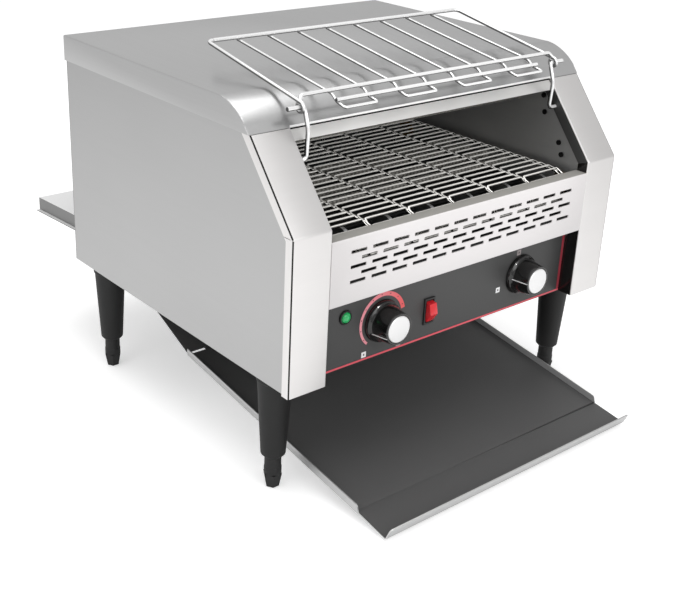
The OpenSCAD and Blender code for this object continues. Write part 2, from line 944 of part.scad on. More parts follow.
// Catch tray: a sloping sheet with a front lip and low side lips
module catch_tray() {
    half = tray_w / 2;
    lip_y = -tray_out + tray_lip_gap;
    color("#4A4A4A")
        placed() {
            bent([[-tray_out - tray_lip_lean, tray_low + tray_front_lip],
                  [-tray_out, tray_low + sheet], [tray_back, tray_z(tray_back)]],
                 -half, half, -sheet);
            both_sides()
                across(half - sheet, half)
                    polygon([[lip_y, tray_z(lip_y) - sheet / 2],
                             [tray_back, tray_z(tray_back) - sheet / 2],
                             [tray_back, tray_z(tray_back) + tray_side_lip],
                             [lip_y, tray_z(lip_y) + tray_side_lip]]);
        }
}

// Rear guard: a shelf behind the casing that keeps it off the wall
module rear_guard() {
    low = guard_z - guard_fall;
    half = guard_w / 2;
    color("#C8C8C8")
        placed() {
            bent([[body_d + sheet, guard_z + guard_up], [body_d + sheet, guard_z],
                  [back_y, low], [back_y, low - guard_side]],
                 -half, half, -sheet);
            both_sides() {
                across(half - sheet, half)
                    polygon([[body_d, guard_z - sheet / 2], [back_y, low - sheet / 2],
                             [back_y, low - guard_side], [body_d, guard_z - guard_side]]);
                across(half - sheet, half + guard_foot)
                    polygon([[body_d, guard_z - guard_side], [back_y, low - guard_side],
                             [back_y, low - guard_side + sheet],
                             [body_d, guard_z - guard_side + sheet]]);
            }
        }
}

// Conveyor belt: cross wires joined by narrow links that run round both
// shafts, with play in the links where a run meets a turn
module belt_ring(r) {
    circle(r = r, $fn = large_fn);
    translate([shaft_span, 0])
        circle(r = r, $fn = large_fn);
    translate([0, -r])
        square([shaft_span, 2 * r]);
}

module belt_wire(y, z) {
    cross_rod(-belt_w / 2, belt_w / 2, y, z, wire_r);
}

module belt_link(x) {
    translate([x, front_shaft_y, shaft_z])
        across(-link_w / 2, link_w / 2)
            difference() {
                belt_ring(belt_r + link_t / 2);
                belt_ring(belt_r - link_t / 2);
                for (y = [-turn_start, shaft_span + turn_start])
                    translate([y - link_play / 2, -belt_r - over])
                        square([link_play, 2 * (belt_r + over)]);
            }
}

module conveyor_belt() {
    color("#A8A8A4")
        placed() {
            for (i = [0:run_gaps]) {
                belt_wire(front_shaft_y + i * run_pitch, shaft_z + belt_r);
                belt_wire(front_shaft_y + i * run_pitch, shaft_z - belt_r);
            }
            for (i = [1:turn_gaps - 1]) {
                a = 180 * i / turn_gaps;
                belt_wire(front_shaft_y - belt_r * sin(a), shaft_z + belt_r * cos(a));
                belt_wire(rear_shaft_y + belt_r * sin(a), shaft_z + belt_r * cos(a));
            }
            for (i = [0:belt_bays])
                belt_link(-belt_w / 2 + wire_r + i * bay_w);
        }
}

// Shafts with the discs that carry the belt
module shaft(y, x_end) {
    cross_rod(-wall_out - shaft_end, x_end, y, shaft_z, shaft_r);
}

module discs(y) {
    for (i = [0:belt_bays - 1])
        difference() {
            cross_rod(-belt_w / 2 + wire_r + (i + 1 / 2) * bay_w - disc_t / 2,
                      -belt_w / 2 + wire_r + (i + 1 / 2) * bay_w + disc_t / 2,
                      y, shaft_z, disc_r);
            cross_rod(-belt_w / 2, belt_w / 2, y, shaft_z, bore_r);
        }
}

module front_shaft() {
    color("#B8B8B8")
        placed()
            shaft(front_shaft_y, wall_out + shaft_end);
}

module drive_shaft() {
    color("#B8B8B8")
        placed()
            shaft(rear_shaft_y, chain_x + chain_w + seat);
}

module front_discs() {
    color("#8E8E8E")
        placed()
            discs(front_shaft_y);
}

module drive_discs() {
    color("#8E8E8E")
        placed()
            discs(rear_shaft_y);
}

// Shaft bushes: flanged bearings in the inner walls
module shaft_bushes() {
    color("#9A7B4F")
        placed()
            both_sides()
                for (y = [front_shaft_y, rear_shaft_y])
                    difference() {
                        union() {
                            cross_rod(wall_x - bush_flange_t, wall_x, y, shaft_z, bush_flange_r);
                            cross_rod(wall_x - bush_flange_t / 2, wall_out + bush_l, y, shaft_z, bush_r);
                        }
                        cross_rod(wall_x - over, wall_out + bush_l + over, y, shaft_z, bore_r);
                    }
}

// Quartz heater tubes above the belt and inside it
module tubes(count, y, pitch, z) {
    for (i = [0:count - 1])
        cross_rod(-wall_out - holder_l + holder_wall, wall_out + holder_l - holder_wall,
                  y + i * pitch, z, tube_r);
}

module upper_heaters() {
    color("#E8DCC8")
        placed()
            tubes(upper_count, upper_y, upper_pitch, upper_z);
}

module lower_heaters() {
    color("#E8DCC8")
        placed()
            tubes(lower_count, lower_y, lower_pitch, low_run_z + lower_rise);
}

// Ceramic holders that close the tube ends outside the inner walls
module holder(y, z) {
    difference() {
        cross_rod(wall_out, wall_out + holder_l, y, z, holder_r);
        cross_rod(wall_out - over, wall_out + holder_l - holder_wall, y, z, tube_r + fit);
    }
}

module heater_holders() {
    color("#E6E0D2")
        placed()
            both_sides() {
                for (i = [0:upper_count - 1])
                    holder(upper_y + i * upper_pitch, upper_z);
                for (i = [0:lower_count - 1])
                    holder(lower_y + i * lower_pitch, low_run_z + lower_rise);
            }
}

// Upper reflector: the plate over the upper heaters
module upper_reflector() {
    hood_front = lean_y(fascia_z, 2 * sheet) + fascia_lip + hood_gap;
    hood_back = body_d - hood_back_gap;
    color("#C4C4C4")
        placed()
            bent([[hood_front, hood_z - hood_lip], [hood_front + hood_lip, hood_z],
                  [hood_back - hood_lip, hood_z], [hood_back, hood_z - hood_lip]],
                 -wall_x, wall_x);
}

// Lower reflector: the plate inside the belt under its heaters
module lower_reflector() {
    front = front_shaft_y + reflector_room;
    back = rear_shaft_y - reflector_room;
    low = low_run_z + reflector_rise;
    color("#C4C4C4")
        placed()
            bent([[front, low + reflector_lip], [front + reflector_lip / 2, low],
                  [back - reflector_lip / 2, low], [back, low + reflector_lip]],
                 -wall_x, wall_x);
}

// Gear motor with its shaft, on a bracket on the right inner wall
module gear_motor() {
    x0 = wall_out + bracket_t;
    color("#6E7276")
        placed()
            difference() {
                union() {
                    cross_rod(x0, x0 + motor_t, motor_y, motor_z, motor_r);
                    block([x0, motor_y - motor_r / 2, pan_top + sheet + seat],
                          [x0 + motor_t, motor_y + motor_r / 2, motor_z]);
                }
                cross_rod(x0 + motor_t / 2, x0 + motor_t + over, motor_y, motor_z, motor_shaft_r + fit);
            }
}

module motor_bracket() {
    color("#9C9C9C")
        placed() {
            block([wall_out, motor_y - motor_r - bracket_t, motor_z - motor_r],
                  [wall_out + bracket_t, motor_y + motor_r + bracket_t, motor_z + motor_r]);
            block([wall_out, motor_y - motor_r - bracket_t, motor_z + motor_r],
                  [wall_out + motor_t, motor_y + motor_r + bracket_t, motor_z + motor_r + bracket_t]);
        }
}

// Sprockets and the roller chain between the motor and the drive shaft
module motor_sprocket() {
    x0 = wall_out + bracket_t + motor_t;
    color("#7C7C7C")
        placed() {
            difference() {
                cross_rod(chain_x, chain_x + chain_w, motor_y, motor_z,
                          motor_pitch_r - chain_half - disc_gap);
                sprocket_holes(motor_y, motor_z, motor_pitch_r / 2 + fit);
            }
            cross_rod(x0 - motor_t / 2 + seat, chain_x + chain_w, motor_y, motor_z, motor_shaft_r);
        }
}

module sprocket_holes(y, z, r) {
    for (i = [0:hole_count - 1])
        cross_rod(chain_x - over, chain_x + chain_w + over,
                  y + r * cos(360 * i / hole_count), z + r * sin(360 * i / hole_count), web_hole_r);
}

module drive_sprocket() {
    color("#7C7C7C")
        placed()
            difference() {
                cross_rod(chain_x, chain_x + chain_w, rear_shaft_y, shaft_z,
                          drive_pitch_r - chain_half - disc_gap);
                cross_rod(chain_x - over, chain_x + chain_w + over, rear_shaft_y, shaft_z, bore_r);
                sprocket_holes(rear_shaft_y, shaft_z, (drive_pitch_r + shaft_r) / 2);
            }
}

module chain_outline(d) {
    hull() {
        translate([motor_y, motor_z])
            circle(r = motor_pitch_r + d, $fn = small_fn);
        translate([rear_shaft_y, shaft_z])
            circle(r = drive_pitch_r + d, $fn = small_fn);
    }
}

module drive_chain() {
    color("#57524A")
        placed()
            across(chain_x, chain_x + chain_w)
                difference() {
                    chain_outline(chain_half);
                    chain_outline(-chain_half);
                }
}

// Cooling fan: a square frame with spokes and a pin, and a bladed rotor on it
module fan_frame() {
    z = pan_top + fan_side / 2;
    rim_r = fan_side / 2 - fan_wall;
    color("#262626")
        placed() {
            difference() {
                block([fan_x - fan_side / 2, fan_y - fan_t / 2, pan_top],
                      [fan_x + fan_side / 2, fan_y + fan_t / 2, pan_top + fan_side]);
                deep_rod(fan_y - fan_t, fan_y + fan_t, fan_x, z, rim_r);
            }
            for (a = [0:90:270])
                translate([fan_x, fan_y + fan_t / 2, z])
                    rotate([0, a + 45, 0])
                        block([0, -spoke_t, -spoke_t / 2], [rim_r + fan_wall / 2, 0, spoke_t / 2]);
            deep_rod(fan_y + fan_t / 2 - spoke_t, fan_y + fan_t / 2, fan_x, z, fan_hub_r);
            deep_rod(fan_y - fan_t / 4, fan_y + fan_t / 2 - spoke_t / 2, fan_x, z, fan_pin_r);
        }
}

module fan_rotor() {
    z = pan_top + fan_side / 2;
    front = fan_y - fan_t / 2 + seat;
    back = fan_y + fan_t / 2 - spoke_t - seat;
    blade_l = fan_side / 2 - fan_wall - seat - fan_hub_r;
    color("#1E1E1E")
        placed()
            difference() {
                union() {
                    deep_rod(front, back, fan_x, z, fan_hub_r);
                    for (i = [0:blade_count - 1])
                        translate([fan_x, (front + back) / 2, z])
                            rotate([0, 360 * i / blade_count, 0])
                                translate([fan_hub_r - blade_t, 0, 0])
                                    rotate([blade_angle, 0, 0])
                                        block([0, -blade_t / 2, -blade_w / 2],
                                              [blade_l, blade_t / 2, blade_w / 2]);
                }
                deep_rod(fan_y - fan_t / 4 - seat, back + over, fan_x, z, fan_pin_r + fit);
            }
}

// Speed board on four pillars, with its parts
module speed_board() {
    x0 = speed_x - board_w / 2;
    z0 = pan_top + pillar_h;
    color("#3E6B4A")
        placed() {
            block([x0, board_y, z0], [x0 + board_w, board_y + board_d, z0 + board_t]);
            for (x = [x0 + board_in, x0 + board_w - board_in])
                for (y = [board_y + board_in, board_y + board_d - board_in])
                    translate([x, y, pan_top])
                        cylinder(h = pillar_h + board_t / 2, r = board_in / 2, $fn = small_fn);
            translate([x0 + board_w / 4, board_y + board_d / 2, z0])
                cylinder(h = part_h, r = part_r, $fn = small_fn);
            block([x0 + board_w / 2, board_y + board_in * 2, z0 + board_t / 2],
                  [x0 + board_w - board_in * 2, board_y + board_d - board_in * 2, pan_top + part_h]);
        }
}

// Controls behind the panel: bodies that the knobs' spindles turn in
module control_body(x, r, l) {
    difference() {
        union() {
            deep_rod(behind_panel, behind_panel + l, x, knob_z, r);
            deep_rod(panel_y - seat / 2, behind_panel + l / 2, x, knob_z, spindle_hole_r - seat);
        }
        deep_rod(panel_y - over, behind_panel + l / 2, x, knob_z, spindle_r + fit);
    }
}

module speed_control() {
    color("#5B5F66")
        placed()
            control_body(speed_x, control_r, control_l);
}

module heat_selector() {
    color("#D6D2C8")
        placed()
            control_body(select_x, selector_r, selector_l);
}

// Knob: a skirt and a tapering grip with a pointer line, on its spindle
module knob_shape(x, angle) {
    difference() {
        union() {
            deep_rod(skirt_y, knob_y, x, knob_z, skirt_r, grip_r + skirt_step);
            deep_rod(face_y, skirt_y + skirt_t / 2, x, knob_z, grip_r, grip_face_r);
            deep_rod(skirt_y, behind_panel + control_l / 2 - seat, x, knob_z, spindle_r);
            translate([x, 0, knob_z])
                rotate([0, -angle, 0])
                    block([0, face_y + cap_t, -pointer_w / 2],
                          [grip_r + pointer_h, skirt_y + skirt_t / 2, pointer_w / 2]);
        }
        deep_rod(face_y - over, face_y + cap_recess, x, knob_z, cap_r + fit);
    }
}

module knob_cap(x) {
    deep_rod(face_y + cap_recess - cap_t, face_y + cap_recess, x, knob_z, cap_r);
}

module speed_knob() {
    color("#151515")
        placed()
            knob_shape(speed_x, speed_angle);
}

module selector_knob() {
    color("#151515")
        placed()
            knob_shape(select_x, select_angle);
}

module speed_cap() {
    color("#E4E4E4")
        placed()
            knob_cap(speed_x);
}

module selector_cap() {
    color("#E4E4E4")
        placed()
            knob_cap(select_x);
}

// Indicator lamp: a bezel ring with its neck, and a domed lens
module lamp_bezel() {
    color("#1C1C1C")
        placed()
            difference() {
                union() {
                    deep_rod(panel_y - lamp_t, panel_y, lamp_x, lamp_z, lamp_r);
                    deep_rod(panel_y - lamp_t / 2, behind_panel + lamp_neck_l, lamp_x, lamp_z, lamp_neck_r);
                }
                deep_rod(panel_y - lamp_t - over, behind_panel, lamp_x, lamp_z, lens_neck_r + fit);
            }
}

module lamp_lens() {
    color("#1FA05A")
        placed() {
            deep_rod(panel_y - lamp_t - lens_t, panel_y - lamp_t, lamp_x, lamp_z, lens_r, lens_r - lens_t);
            deep_rod(panel_y - lamp_t - lens_t / 2, behind_panel - seat, lamp_x, lamp_z, lens_neck_r);
        }
}

// Rocker switch: a bezel with its body, and the rocker on its pin
module switch_bezel() {
    hole = switch_w / 2 - switch_rim;
    hole_z = switch_h / 2 - switch_rim;
    inner = hole - switch_wall;
    inner_z = hole_z - switch_wall;
    color("#1A1A1A")
        placed()
            difference() {
                union() {
                    block([switch_x - switch_w / 2, panel_y - switch_t, switch_z - switch_h / 2],
                          [switch_x + switch_w / 2, panel_y, switch_z + switch_h / 2]);
                    block([switch_x - hole, panel_y - switch_t, switch_z - hole_z],
                          [switch_x + hole, behind_panel + switch_l, switch_z + hole_z]);
                }
                block([switch_x - inner, panel_y - switch_t - over, switch_z - inner_z],
                      [switch_x + inner, behind_panel + switch_l - switch_wall, switch_z + inner_z]);
                cross_rod(switch_x - hole - over, switch_x + hole + over, panel_y, switch_z,
                          rocker_pin_r + fit);
            }
}

module rocker() {
    half = switch_w / 2 - switch_rim - switch_wall - seat;
    tall = switch_h / 2 - switch_rim - switch_wall - rocker_room;
    color("#D8262C")
        placed()
            translate([0, panel_y, switch_z])
                rotate([rocker_tilt, 0, 0])
                    translate([0, -panel_y, -switch_z]) {
                        across(switch_x - half, switch_x + half)
                            polygon([[panel_y - rocker_tip, switch_z - tall],
                                     [panel_y - rocker_peak, switch_z],
                                     [panel_y - rocker_tip, switch_z + tall],
                                     [panel_y + rocker_tip, switch_z + tall],
                                     [panel_y + rocker_tip, switch_z - tall]]);
                        cross_rod(switch_x - half - switch_wall, switch_x + half + switch_wall,
                                  panel_y, switch_z, rocker_pin_r);
                    }
}

// Rack arm: a bent wire with a foot in the inner wall and a pin at its top
module arm_shape() {
    wire([[wall_out + arm_foot, arm_y, arm_z], [arm_x, arm_y, arm_z],
          [arm_x, arm_y + arm_back - arm_bow, arm_z + arm_h * bow_share],
          [arm_x, pivot_y, pivot_z], [arm_x + arm_pin, pivot_y, pivot_z]], arm_r);
}

module rack_arm_right() {
    color("#D0D0D0")
        placed()
            arm_shape();
}

module rack_arm_left() {
    color("#D0D0D0")
        placed()
            other_side()
                arm_shape();
}

// Feed rack: a wire frame whose long wires lie under the bars and loop in pairs in front
module feed_rack() {
    rail_z = arm_r + eye_play + frame_r;
    rail_y = arm_r;
    back = rack_l - rail_y;
    bar_y = rail_y + bar_back;
    bar_z = rail_z + bar_lift;
    hang = frame_r + long_r - weld_depth;
    rear_z = rail_z - rear_r - long_r + weld_depth;
    front_z = bar_z - hang;
    low_y = bar_y - bar_step;
    low_z = front_z - rack_drop;
    low_x = rack_x - long_pitch + 2 * long_r;
    end_x = rack_x - weld_depth;
    past = frame_r + long_r / 2;
    corner = rack_corner - weld;
    color("#D4D4D4")
        placed()
            translate([0, pivot_y, pivot_z])
                rotate([rack_tilt, 0, 0]) {
                    wire([[-end_x, rail_y, rail_z], [bar_back - rack_x, bar_y, bar_z],
                          [rack_x - bar_back, bar_y, bar_z], [end_x, rail_y, rail_z]], frame_r);
                    bar([-rack_x + corner, back, rail_z], [rack_x - corner, back, rail_z], rear_r);
                    both_sides() {
                        bar([rack_x, 0, rail_z], [rack_x, back - corner, rail_z], frame_r);
                        translate([rack_x - rack_corner, back - rack_corner, rail_z])
                            rotate_extrude(angle = 90, $fn = small_fn)
                                translate([rack_corner, 0])
                                    circle(r = frame_r, $fn = small_fn);
                        difference() {
                            cross_rod(rack_x - frame_r, rack_x + frame_r, 0, 0, rail_z + frame_r / 2);
                            cross_rod(rack_x - over, rack_x + over, 0, 0, arm_r + fit);
                        }
                    }
                    bar([-low_x, low_y, low_z + hang], [low_x, low_y, low_z + hang], frame_r);
                    for (i = [1:2:long_count]) {
                        x = -rack_x + i * long_pitch;
                        next_x = x + long_pitch;
                        loop_y = low_y - loop_l;
                        loop_z = low_z - loop_fall;
                        wire([[x, back + rear_r, rear_z], [x, bar_y - past, front_z],
                              [x, low_y + past, low_z], [x - loop_flare, loop_y, loop_z],
                              [next_x + loop_flare, loop_y, loop_z], [next_x, low_y + past, low_z],
                              [next_x, bar_y - past, front_z],
                              [next_x, back + rear_r, rear_z]], long_r);
                    }
                }
}

// Screws whose heads show on the inner walls and on the guard
module wall_screws() {
    color("#C2C2C2")
        placed()
            both_sides() {
                for (i = [0:len(screw_rise_shares) - 1])
                    cross_rod(wall_x - screw_head_t, wall_x, slope_d * screw_depth_shares[i],
                              knee_z + (slope_z - knee_z) * screw_rise_shares[i], screw_head_r);
                for (x = [guard_w / 4, guard_w / 2 - guard_up / 2])
                    deep_rod(body_d + sheet, body_d + sheet + screw_head_t, x,
                             guard_z + guard_up / 2 + sheet, screw_head_r);
            }
}

// Cable gland with an open bore, in the back panel
module cable_gland() {
    color("#1B1B1B")
        placed()
            difference() {
                union() {
                    deep_rod(body_d, body_d + gland_nut_t, gland_x, gland_z, gland_nut_r);
                    deep_rod(inside_back - gland_nut_t, body_d + gland_l, gland_x, gland_z, gland_thread_r);
                    deep_rod(inside_back - gland_nut_t, inside_back, gland_x, gland_z, gland_nut_r);
                }
                deep_rod(inside_back - gland_nut_t - over, body_d + gland_l + over, gland_x, gland_z,
                         gland_r);
            }
}

// Terminal block on the base pan beside the gland
module terminal_block() {
    pitch = terminal_l / terminal_count;
    x0 = -wall_out - terminal_in - terminal_w;
    color("#E9E6DC")
        placed()
            difference() {
                block([x0, terminal_y, pan_top],
                      [x0 + terminal_w, terminal_y + terminal_l, pan_top + terminal_w]);
                for (i = [0:terminal_count - 1])
                    translate([x0 + terminal_w / 2, terminal_y + (i + 1 / 2) * pitch,
                               pan_top + terminal_w / 2])
                        cylinder(h = terminal_w, r = pitch / 4, $fn = small_fn);
            }
}

base_pan();
side_panel_left();
side_panel_right();
front_post_left();
front_post_right();
top_cover();
back_panel();
fascia();
inner_wall_left();
inner_wall_right();
grille_panel();
control_panel();
leg_front_left();
leg_front_right();
leg_rear_left();
leg_rear_right();
foot_front_left();
foot_front_right();
foot_rear_left();
foot_rear_right();
toast_chute();
bulkhead();
tray_runners();
catch_tray();
rear_guard();
conveyor_belt();
front_shaft();
front_discs();
drive_shaft();
drive_discs();
shaft_bushes();
upper_heaters();
lower_heaters();
heater_holders();
upper_reflector();
lower_reflector();
gear_motor();
motor_bracket();
motor_sprocket();
drive_sprocket();
drive_chain();
fan_frame();
fan_rotor();
speed_board();
speed_control();
heat_selector();
speed_knob();
speed_cap();
selector_knob();
selector_cap();
lamp_bezel();
lamp_lens();
switch_bezel();
rocker();
rack_arm_left();
rack_arm_right();
feed_rack();
wall_screws();
cable_gland();
terminal_block();
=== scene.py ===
import math

import bpy
from mathutils import Matrix, Vector


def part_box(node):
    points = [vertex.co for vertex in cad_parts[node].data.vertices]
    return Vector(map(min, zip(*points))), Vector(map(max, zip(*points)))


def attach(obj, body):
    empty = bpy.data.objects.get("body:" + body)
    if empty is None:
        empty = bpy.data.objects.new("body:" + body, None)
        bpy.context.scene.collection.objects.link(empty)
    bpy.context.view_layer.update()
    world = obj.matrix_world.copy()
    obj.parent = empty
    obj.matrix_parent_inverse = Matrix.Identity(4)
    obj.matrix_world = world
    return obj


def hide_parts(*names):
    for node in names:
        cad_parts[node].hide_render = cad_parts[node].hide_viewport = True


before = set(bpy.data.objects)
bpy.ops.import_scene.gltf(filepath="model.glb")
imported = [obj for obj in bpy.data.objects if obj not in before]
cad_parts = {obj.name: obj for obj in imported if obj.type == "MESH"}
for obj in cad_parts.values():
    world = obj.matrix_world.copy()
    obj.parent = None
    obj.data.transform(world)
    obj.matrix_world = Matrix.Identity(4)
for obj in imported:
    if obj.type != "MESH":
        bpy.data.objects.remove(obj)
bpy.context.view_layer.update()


# Camera: a long lens that looks down on the toaster from its front left, held
# a little out of level, with its axis left of and above the picture's middle.
view_azimuth = math.radians(-39.82)
view_height = math.radians(23.03)
camera_roll = math.radians(2.15)
camera_distance = 1.324
aim_right = -0.0373
aim_up = -0.0556
aim_depth = 0.200
aim_height = 0.200
image_width = 679
image_height = 590
focal_pixels = 1134
centre_pixel = (309, 265)
front_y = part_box("front_post_left")[0].y
aim = Vector((0, front_y + aim_depth, aim_height))
camera_turn = (Matrix.Rotation(view_azimuth, 3, "Z")
               @ Matrix.Rotation(math.pi / 2 - view_height, 3, "X")
               @ Matrix.Rotation(camera_roll, 3, "Z"))
camera_place = aim + camera_turn @ Vector((aim_right, aim_up, camera_distance))
bpy.ops.object.camera_add(location=camera_place, rotation=camera_turn.to_euler())
camera = bpy.context.object
camera.data.lens = focal_pixels * camera.data.sensor_width / image_width
camera.data.shift_x = (image_width / 2 - centre_pixel[0]) / image_width
camera.data.shift_y = (centre_pixel[1] - image_height / 2) / image_width
scene = bpy.context.scene
scene.camera = camera


# Studio: a pale floor under even white light, with a large soft box in front,
# one over the top, a weak one on the left and a narrow beam on the belt.
def linear(code):
    """Linear colour of an sRGB hex value"""
    parts = [int(code[i:i + 2], 16) / 255 for i in (0, 2, 4)]
    return [p / 12.92 if p <= 0.04045 else ((p + 0.055) / 1.055) ** 2.4 for p in parts] + [1.0]


def add_node(tree, kind, settings=None, links=None):
    """Add a node, set its fields and its sockets, and link its sockets"""
    made = tree.nodes.new(kind)
    for key, value in (settings or {}).items():
        if isinstance(key, str) and hasattr(made, key) and key not in made.inputs:
            setattr(made, key, value)
        else:
            made.inputs[key].default_value = value
    for key, source in (links or {}).items():
        tree.links.new(source, made.inputs[key])
    return made


def emptied(owner):
    """The node tree of a material or of the world, emptied"""
    owner.use_nodes = True
    owner.node_tree.nodes.clear()
    return owner.node_tree


def put_lamp(name, kind, place, target, power):
    """Put up a lamp that faces a point"""
    bpy.ops.object.light_add(type=kind, location=place)
    lamp = bpy.context.object
    lamp.name = name
    lamp.rotation_euler = (Vector(target) - Vector(place)).to_track_quat("-Z", "Y").to_euler()
    lamp.data.energy = power
    return lamp.data


body_middle = (0, 0, 0.2)
belt_middle = (0, front_y + 0.14, 0.27)
for name, place, width, height, power in (("front_box", (-0.30, -2.0, 1.15), 1.8, 1.2, 12.5),
                                          ("top_box", (-0.2, 0.1, 2.1), 1.6, 1.6, 20),
                                          ("left_box", (-2.1, -0.4, 0.9), 1.4, 1.2, 6)):
    soft_box = put_lamp(name, "AREA", place, body_middle, power)
    soft_box.shape = "RECTANGLE"
    soft_box.size = width
    soft_box.size_y = height
beam = put_lamp("belt_spot", "SPOT", (0.10, front_y - 1.0, 0.72), belt_middle, 16)
beam.spot_size = math.radians(22)
beam.spot_blend = 0.7
beam.shadow_soft_size = 0.05

white = linear("FFFFFF")
air_light = 0.60
scene.view_settings.view_transform = "Standard"
scene.world = bpy.data.worlds.new("studio_air")
tree = emptied(scene.world)
ray = add_node(tree, "ShaderNodeLightPath")
air = add_node(tree, "ShaderNodeBackground", {"Color": white, "Strength": air_light})
backdrop = add_node(tree, "ShaderNodeBackground", {"Color": white, "Strength": 1.0})
air_mix = add_node(tree, "ShaderNodeMixShader",
                   links={0: ray.outputs["Is Camera Ray"], 1: air.outputs[0], 2: backdrop.outputs[0]})
add_node(tree, "ShaderNodeOutputWorld", links={"Surface": air_mix.outputs[0]})

floor_size = 6.0
floor_drop = 0.0005
floor_glow = 0.42
mirrored_share = 0.25
bpy.ops.mesh.primitive_plane_add(size=floor_size, location=(0, 0, -floor_drop))
floor = bpy.context.object
floor.name = "floor"
floor_paint = bpy.data.materials.new("white_paper")
tree = emptied(floor_paint)
ray = add_node(tree, "ShaderNodeLightPath")
paper = add_node(tree, "ShaderNodeBsdfDiffuse", {"Color": linear("F4F4F4")})
glow = add_node(tree, "ShaderNodeEmission", {"Color": white, "Strength": floor_glow})
dark = add_node(tree, "ShaderNodeEmission", {"Strength": 0.0})
seen_in_metal = add_node(tree, "ShaderNodeMath", {"operation": "MULTIPLY", 1: mirrored_share},
                         {0: ray.outputs["Is Glossy Ray"]})
seen = add_node(tree, "ShaderNodeMath", {"operation": "MAXIMUM"},
                {0: ray.outputs["Is Camera Ray"], 1: seen_in_metal.outputs[0]})
seen_any = add_node(tree, "ShaderNodeMath", {"operation": "MAXIMUM"},
                    {0: seen.outputs[0], 1: ray.outputs["Is Transmission Ray"]})
lift = add_node(tree, "ShaderNodeMixShader",
                links={0: seen_any.outputs[0], 1: dark.outputs[0], 2: glow.outputs[0]})
both = add_node(tree, "ShaderNodeAddShader", links={0: paper.outputs[0], 1: lift.outputs[0]})
add_node(tree, "ShaderNodeOutputMaterial", links={"Surface": both.outputs[0]})
floor.data.materials.append(floor_paint)


# Top cover: a sheet of brushed stainless steel with its grain from front to
# back, rolled over at the front, with bands folded down at both sides and the
# back. It sits on the side panels.
def end_edit():
    """Leave edit mode"""
    bpy.ops.object.mode_set(mode="OBJECT")


def deselect():
    """Leave nothing selected, in object mode"""
    if bpy.context.object and bpy.context.object.mode != "OBJECT":
        end_edit()
    bpy.ops.object.select_all(action="DESELECT")


def hold(piece):
    """Select one piece alone and make it the active one"""
    deselect()
    bpy.context.view_layer.objects.active = piece
    piece.select_set(True)


def choose(piece, kind, test=lambda c: True):
    """Select, in edit mode, a piece's vertices, edges or faces whose middle passes a test, or all"""
    hold(piece)
    mesh = piece.data
    corners = mesh.vertices
    middles = {"VERT": lambda v: v.co,
               "EDGE": lambda e: (corners[e.vertices[0]].co + corners[e.vertices[1]].co) / 2,
               "FACE": lambda f: f.center}
    groups = {"VERT": mesh.vertices, "EDGE": mesh.edges, "FACE": mesh.polygons}
    for group in groups.values():
        group.foreach_set("select", [False] * len(group))
    for item in groups[kind]:
        item.select = test(middles[kind](item))
    bpy.ops.object.mode_set(mode="EDIT")
    bpy.ops.mesh.select_mode(type=kind)


def near(value, wanted, reach=1e-5):
    """Whether a length is as wanted"""
    return abs(value - wanted) < reach


def settle():
    """Put the piece's place, turn and size in its mesh"""
    bpy.ops.object.transform_apply(location=True, rotation=True, scale=True)


def plate(middle, width, length, turn=(0, 0, 0)):
    """A flat blank about its middle"""
    deselect()
    bpy.ops.mesh.primitive_plane_add(size=1, location=middle, rotation=turn)
    piece = bpy.context.object
    piece.scale = (width, length, 1)
    settle()
    return piece


def extrude(x, y, z):
    """Extrude what is selected by a step"""
    bpy.ops.mesh.extrude_region_move(TRANSFORM_OT_translate={"value": (x, y, z)})


def outward(piece):
    """Merge doubles and turn every face outwards"""
    choose(piece, "VERT")
    bpy.ops.mesh.remove_doubles(threshold=1e-6)
    bpy.ops.mesh.select_all(action="SELECT")
    bpy.ops.mesh.normals_make_consistent(inside=False)
    end_edit()


def modified(piece, kind, **settings):
    """Add a modifier and apply it"""
    hold(piece)
    added = piece.modifiers.new(kind.lower(), kind)
    for key, value in settings.items():
        setattr(added, key, value)
    bpy.ops.object.modifier_apply(modifier=added.name)


def folded(piece, even=True, **settings):
    """Round the chosen folds of a sheet and give it its thickness"""
    bpy.ops.mesh.bevel(offset=edge_round, segments=3, affect="EDGES")
    modified(piece, "SOLIDIFY", thickness=sheet, offset=-1, use_even_offset=even, **settings)


def smooth(piece, angle=25):
    """Shade round stretches smooth and keep the edges that turn by more than an angle"""
    hold(piece)
    bpy.ops.object.shade_smooth_by_angle(angle=math.radians(angle))


def coat(piece, *paints):
    """Give a piece its finishes"""
    piece.data.materials.clear()
    for paint in paints:
        piece.data.materials.append(paint)


def fit_piece(piece, name, body, slot, paint, *nodes):
    """Name a finished piece, paint it where it has no finishes yet and let it stand for its nodes"""
    deselect()
    piece.name = name
    piece.data.name = name
    if paint:
        coat(piece, paint)
    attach(piece, body)
    if nodes:
        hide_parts(*nodes)


def new_material(name):
    """An empty material, its tree and its place in the object's own coordinates"""
    made = bpy.data.materials.new(name)
    tree = emptied(made)
    return made, tree, add_node(tree, "ShaderNodeTexCoord").outputs["Object"]


def shade(tree, codes, share, settings, height=None, bump=0.0, distance=0.0002, spread=0.0, links=None):
    """Finish a material: its colour runs between two with a share, and its skin follows a height"""
    tone = add_node(tree, "ShaderNodeMix", {"data_type": "RGBA"}, {0: share})
    for socket, code, step in zip((6, 7), codes, (-spread, spread)):
        tone.inputs[socket].default_value = [min(c * (1 + step), 1.0) for c in linear(code)[:3]] + [1.0]
    joins = {"Base Color": tone.outputs[2], **(links or {})}
    if height is not None:
        skin = add_node(tree, "ShaderNodeBump", {"Strength": bump, "Distance": distance},
                        {"Height": height})
        joins["Normal"] = skin.outputs[0]
    shader = add_node(tree, "ShaderNodeBsdfPrincipled", settings, joins)
    add_node(tree, "ShaderNodeOutputMaterial", links={"Surface": shader.outputs[0]})


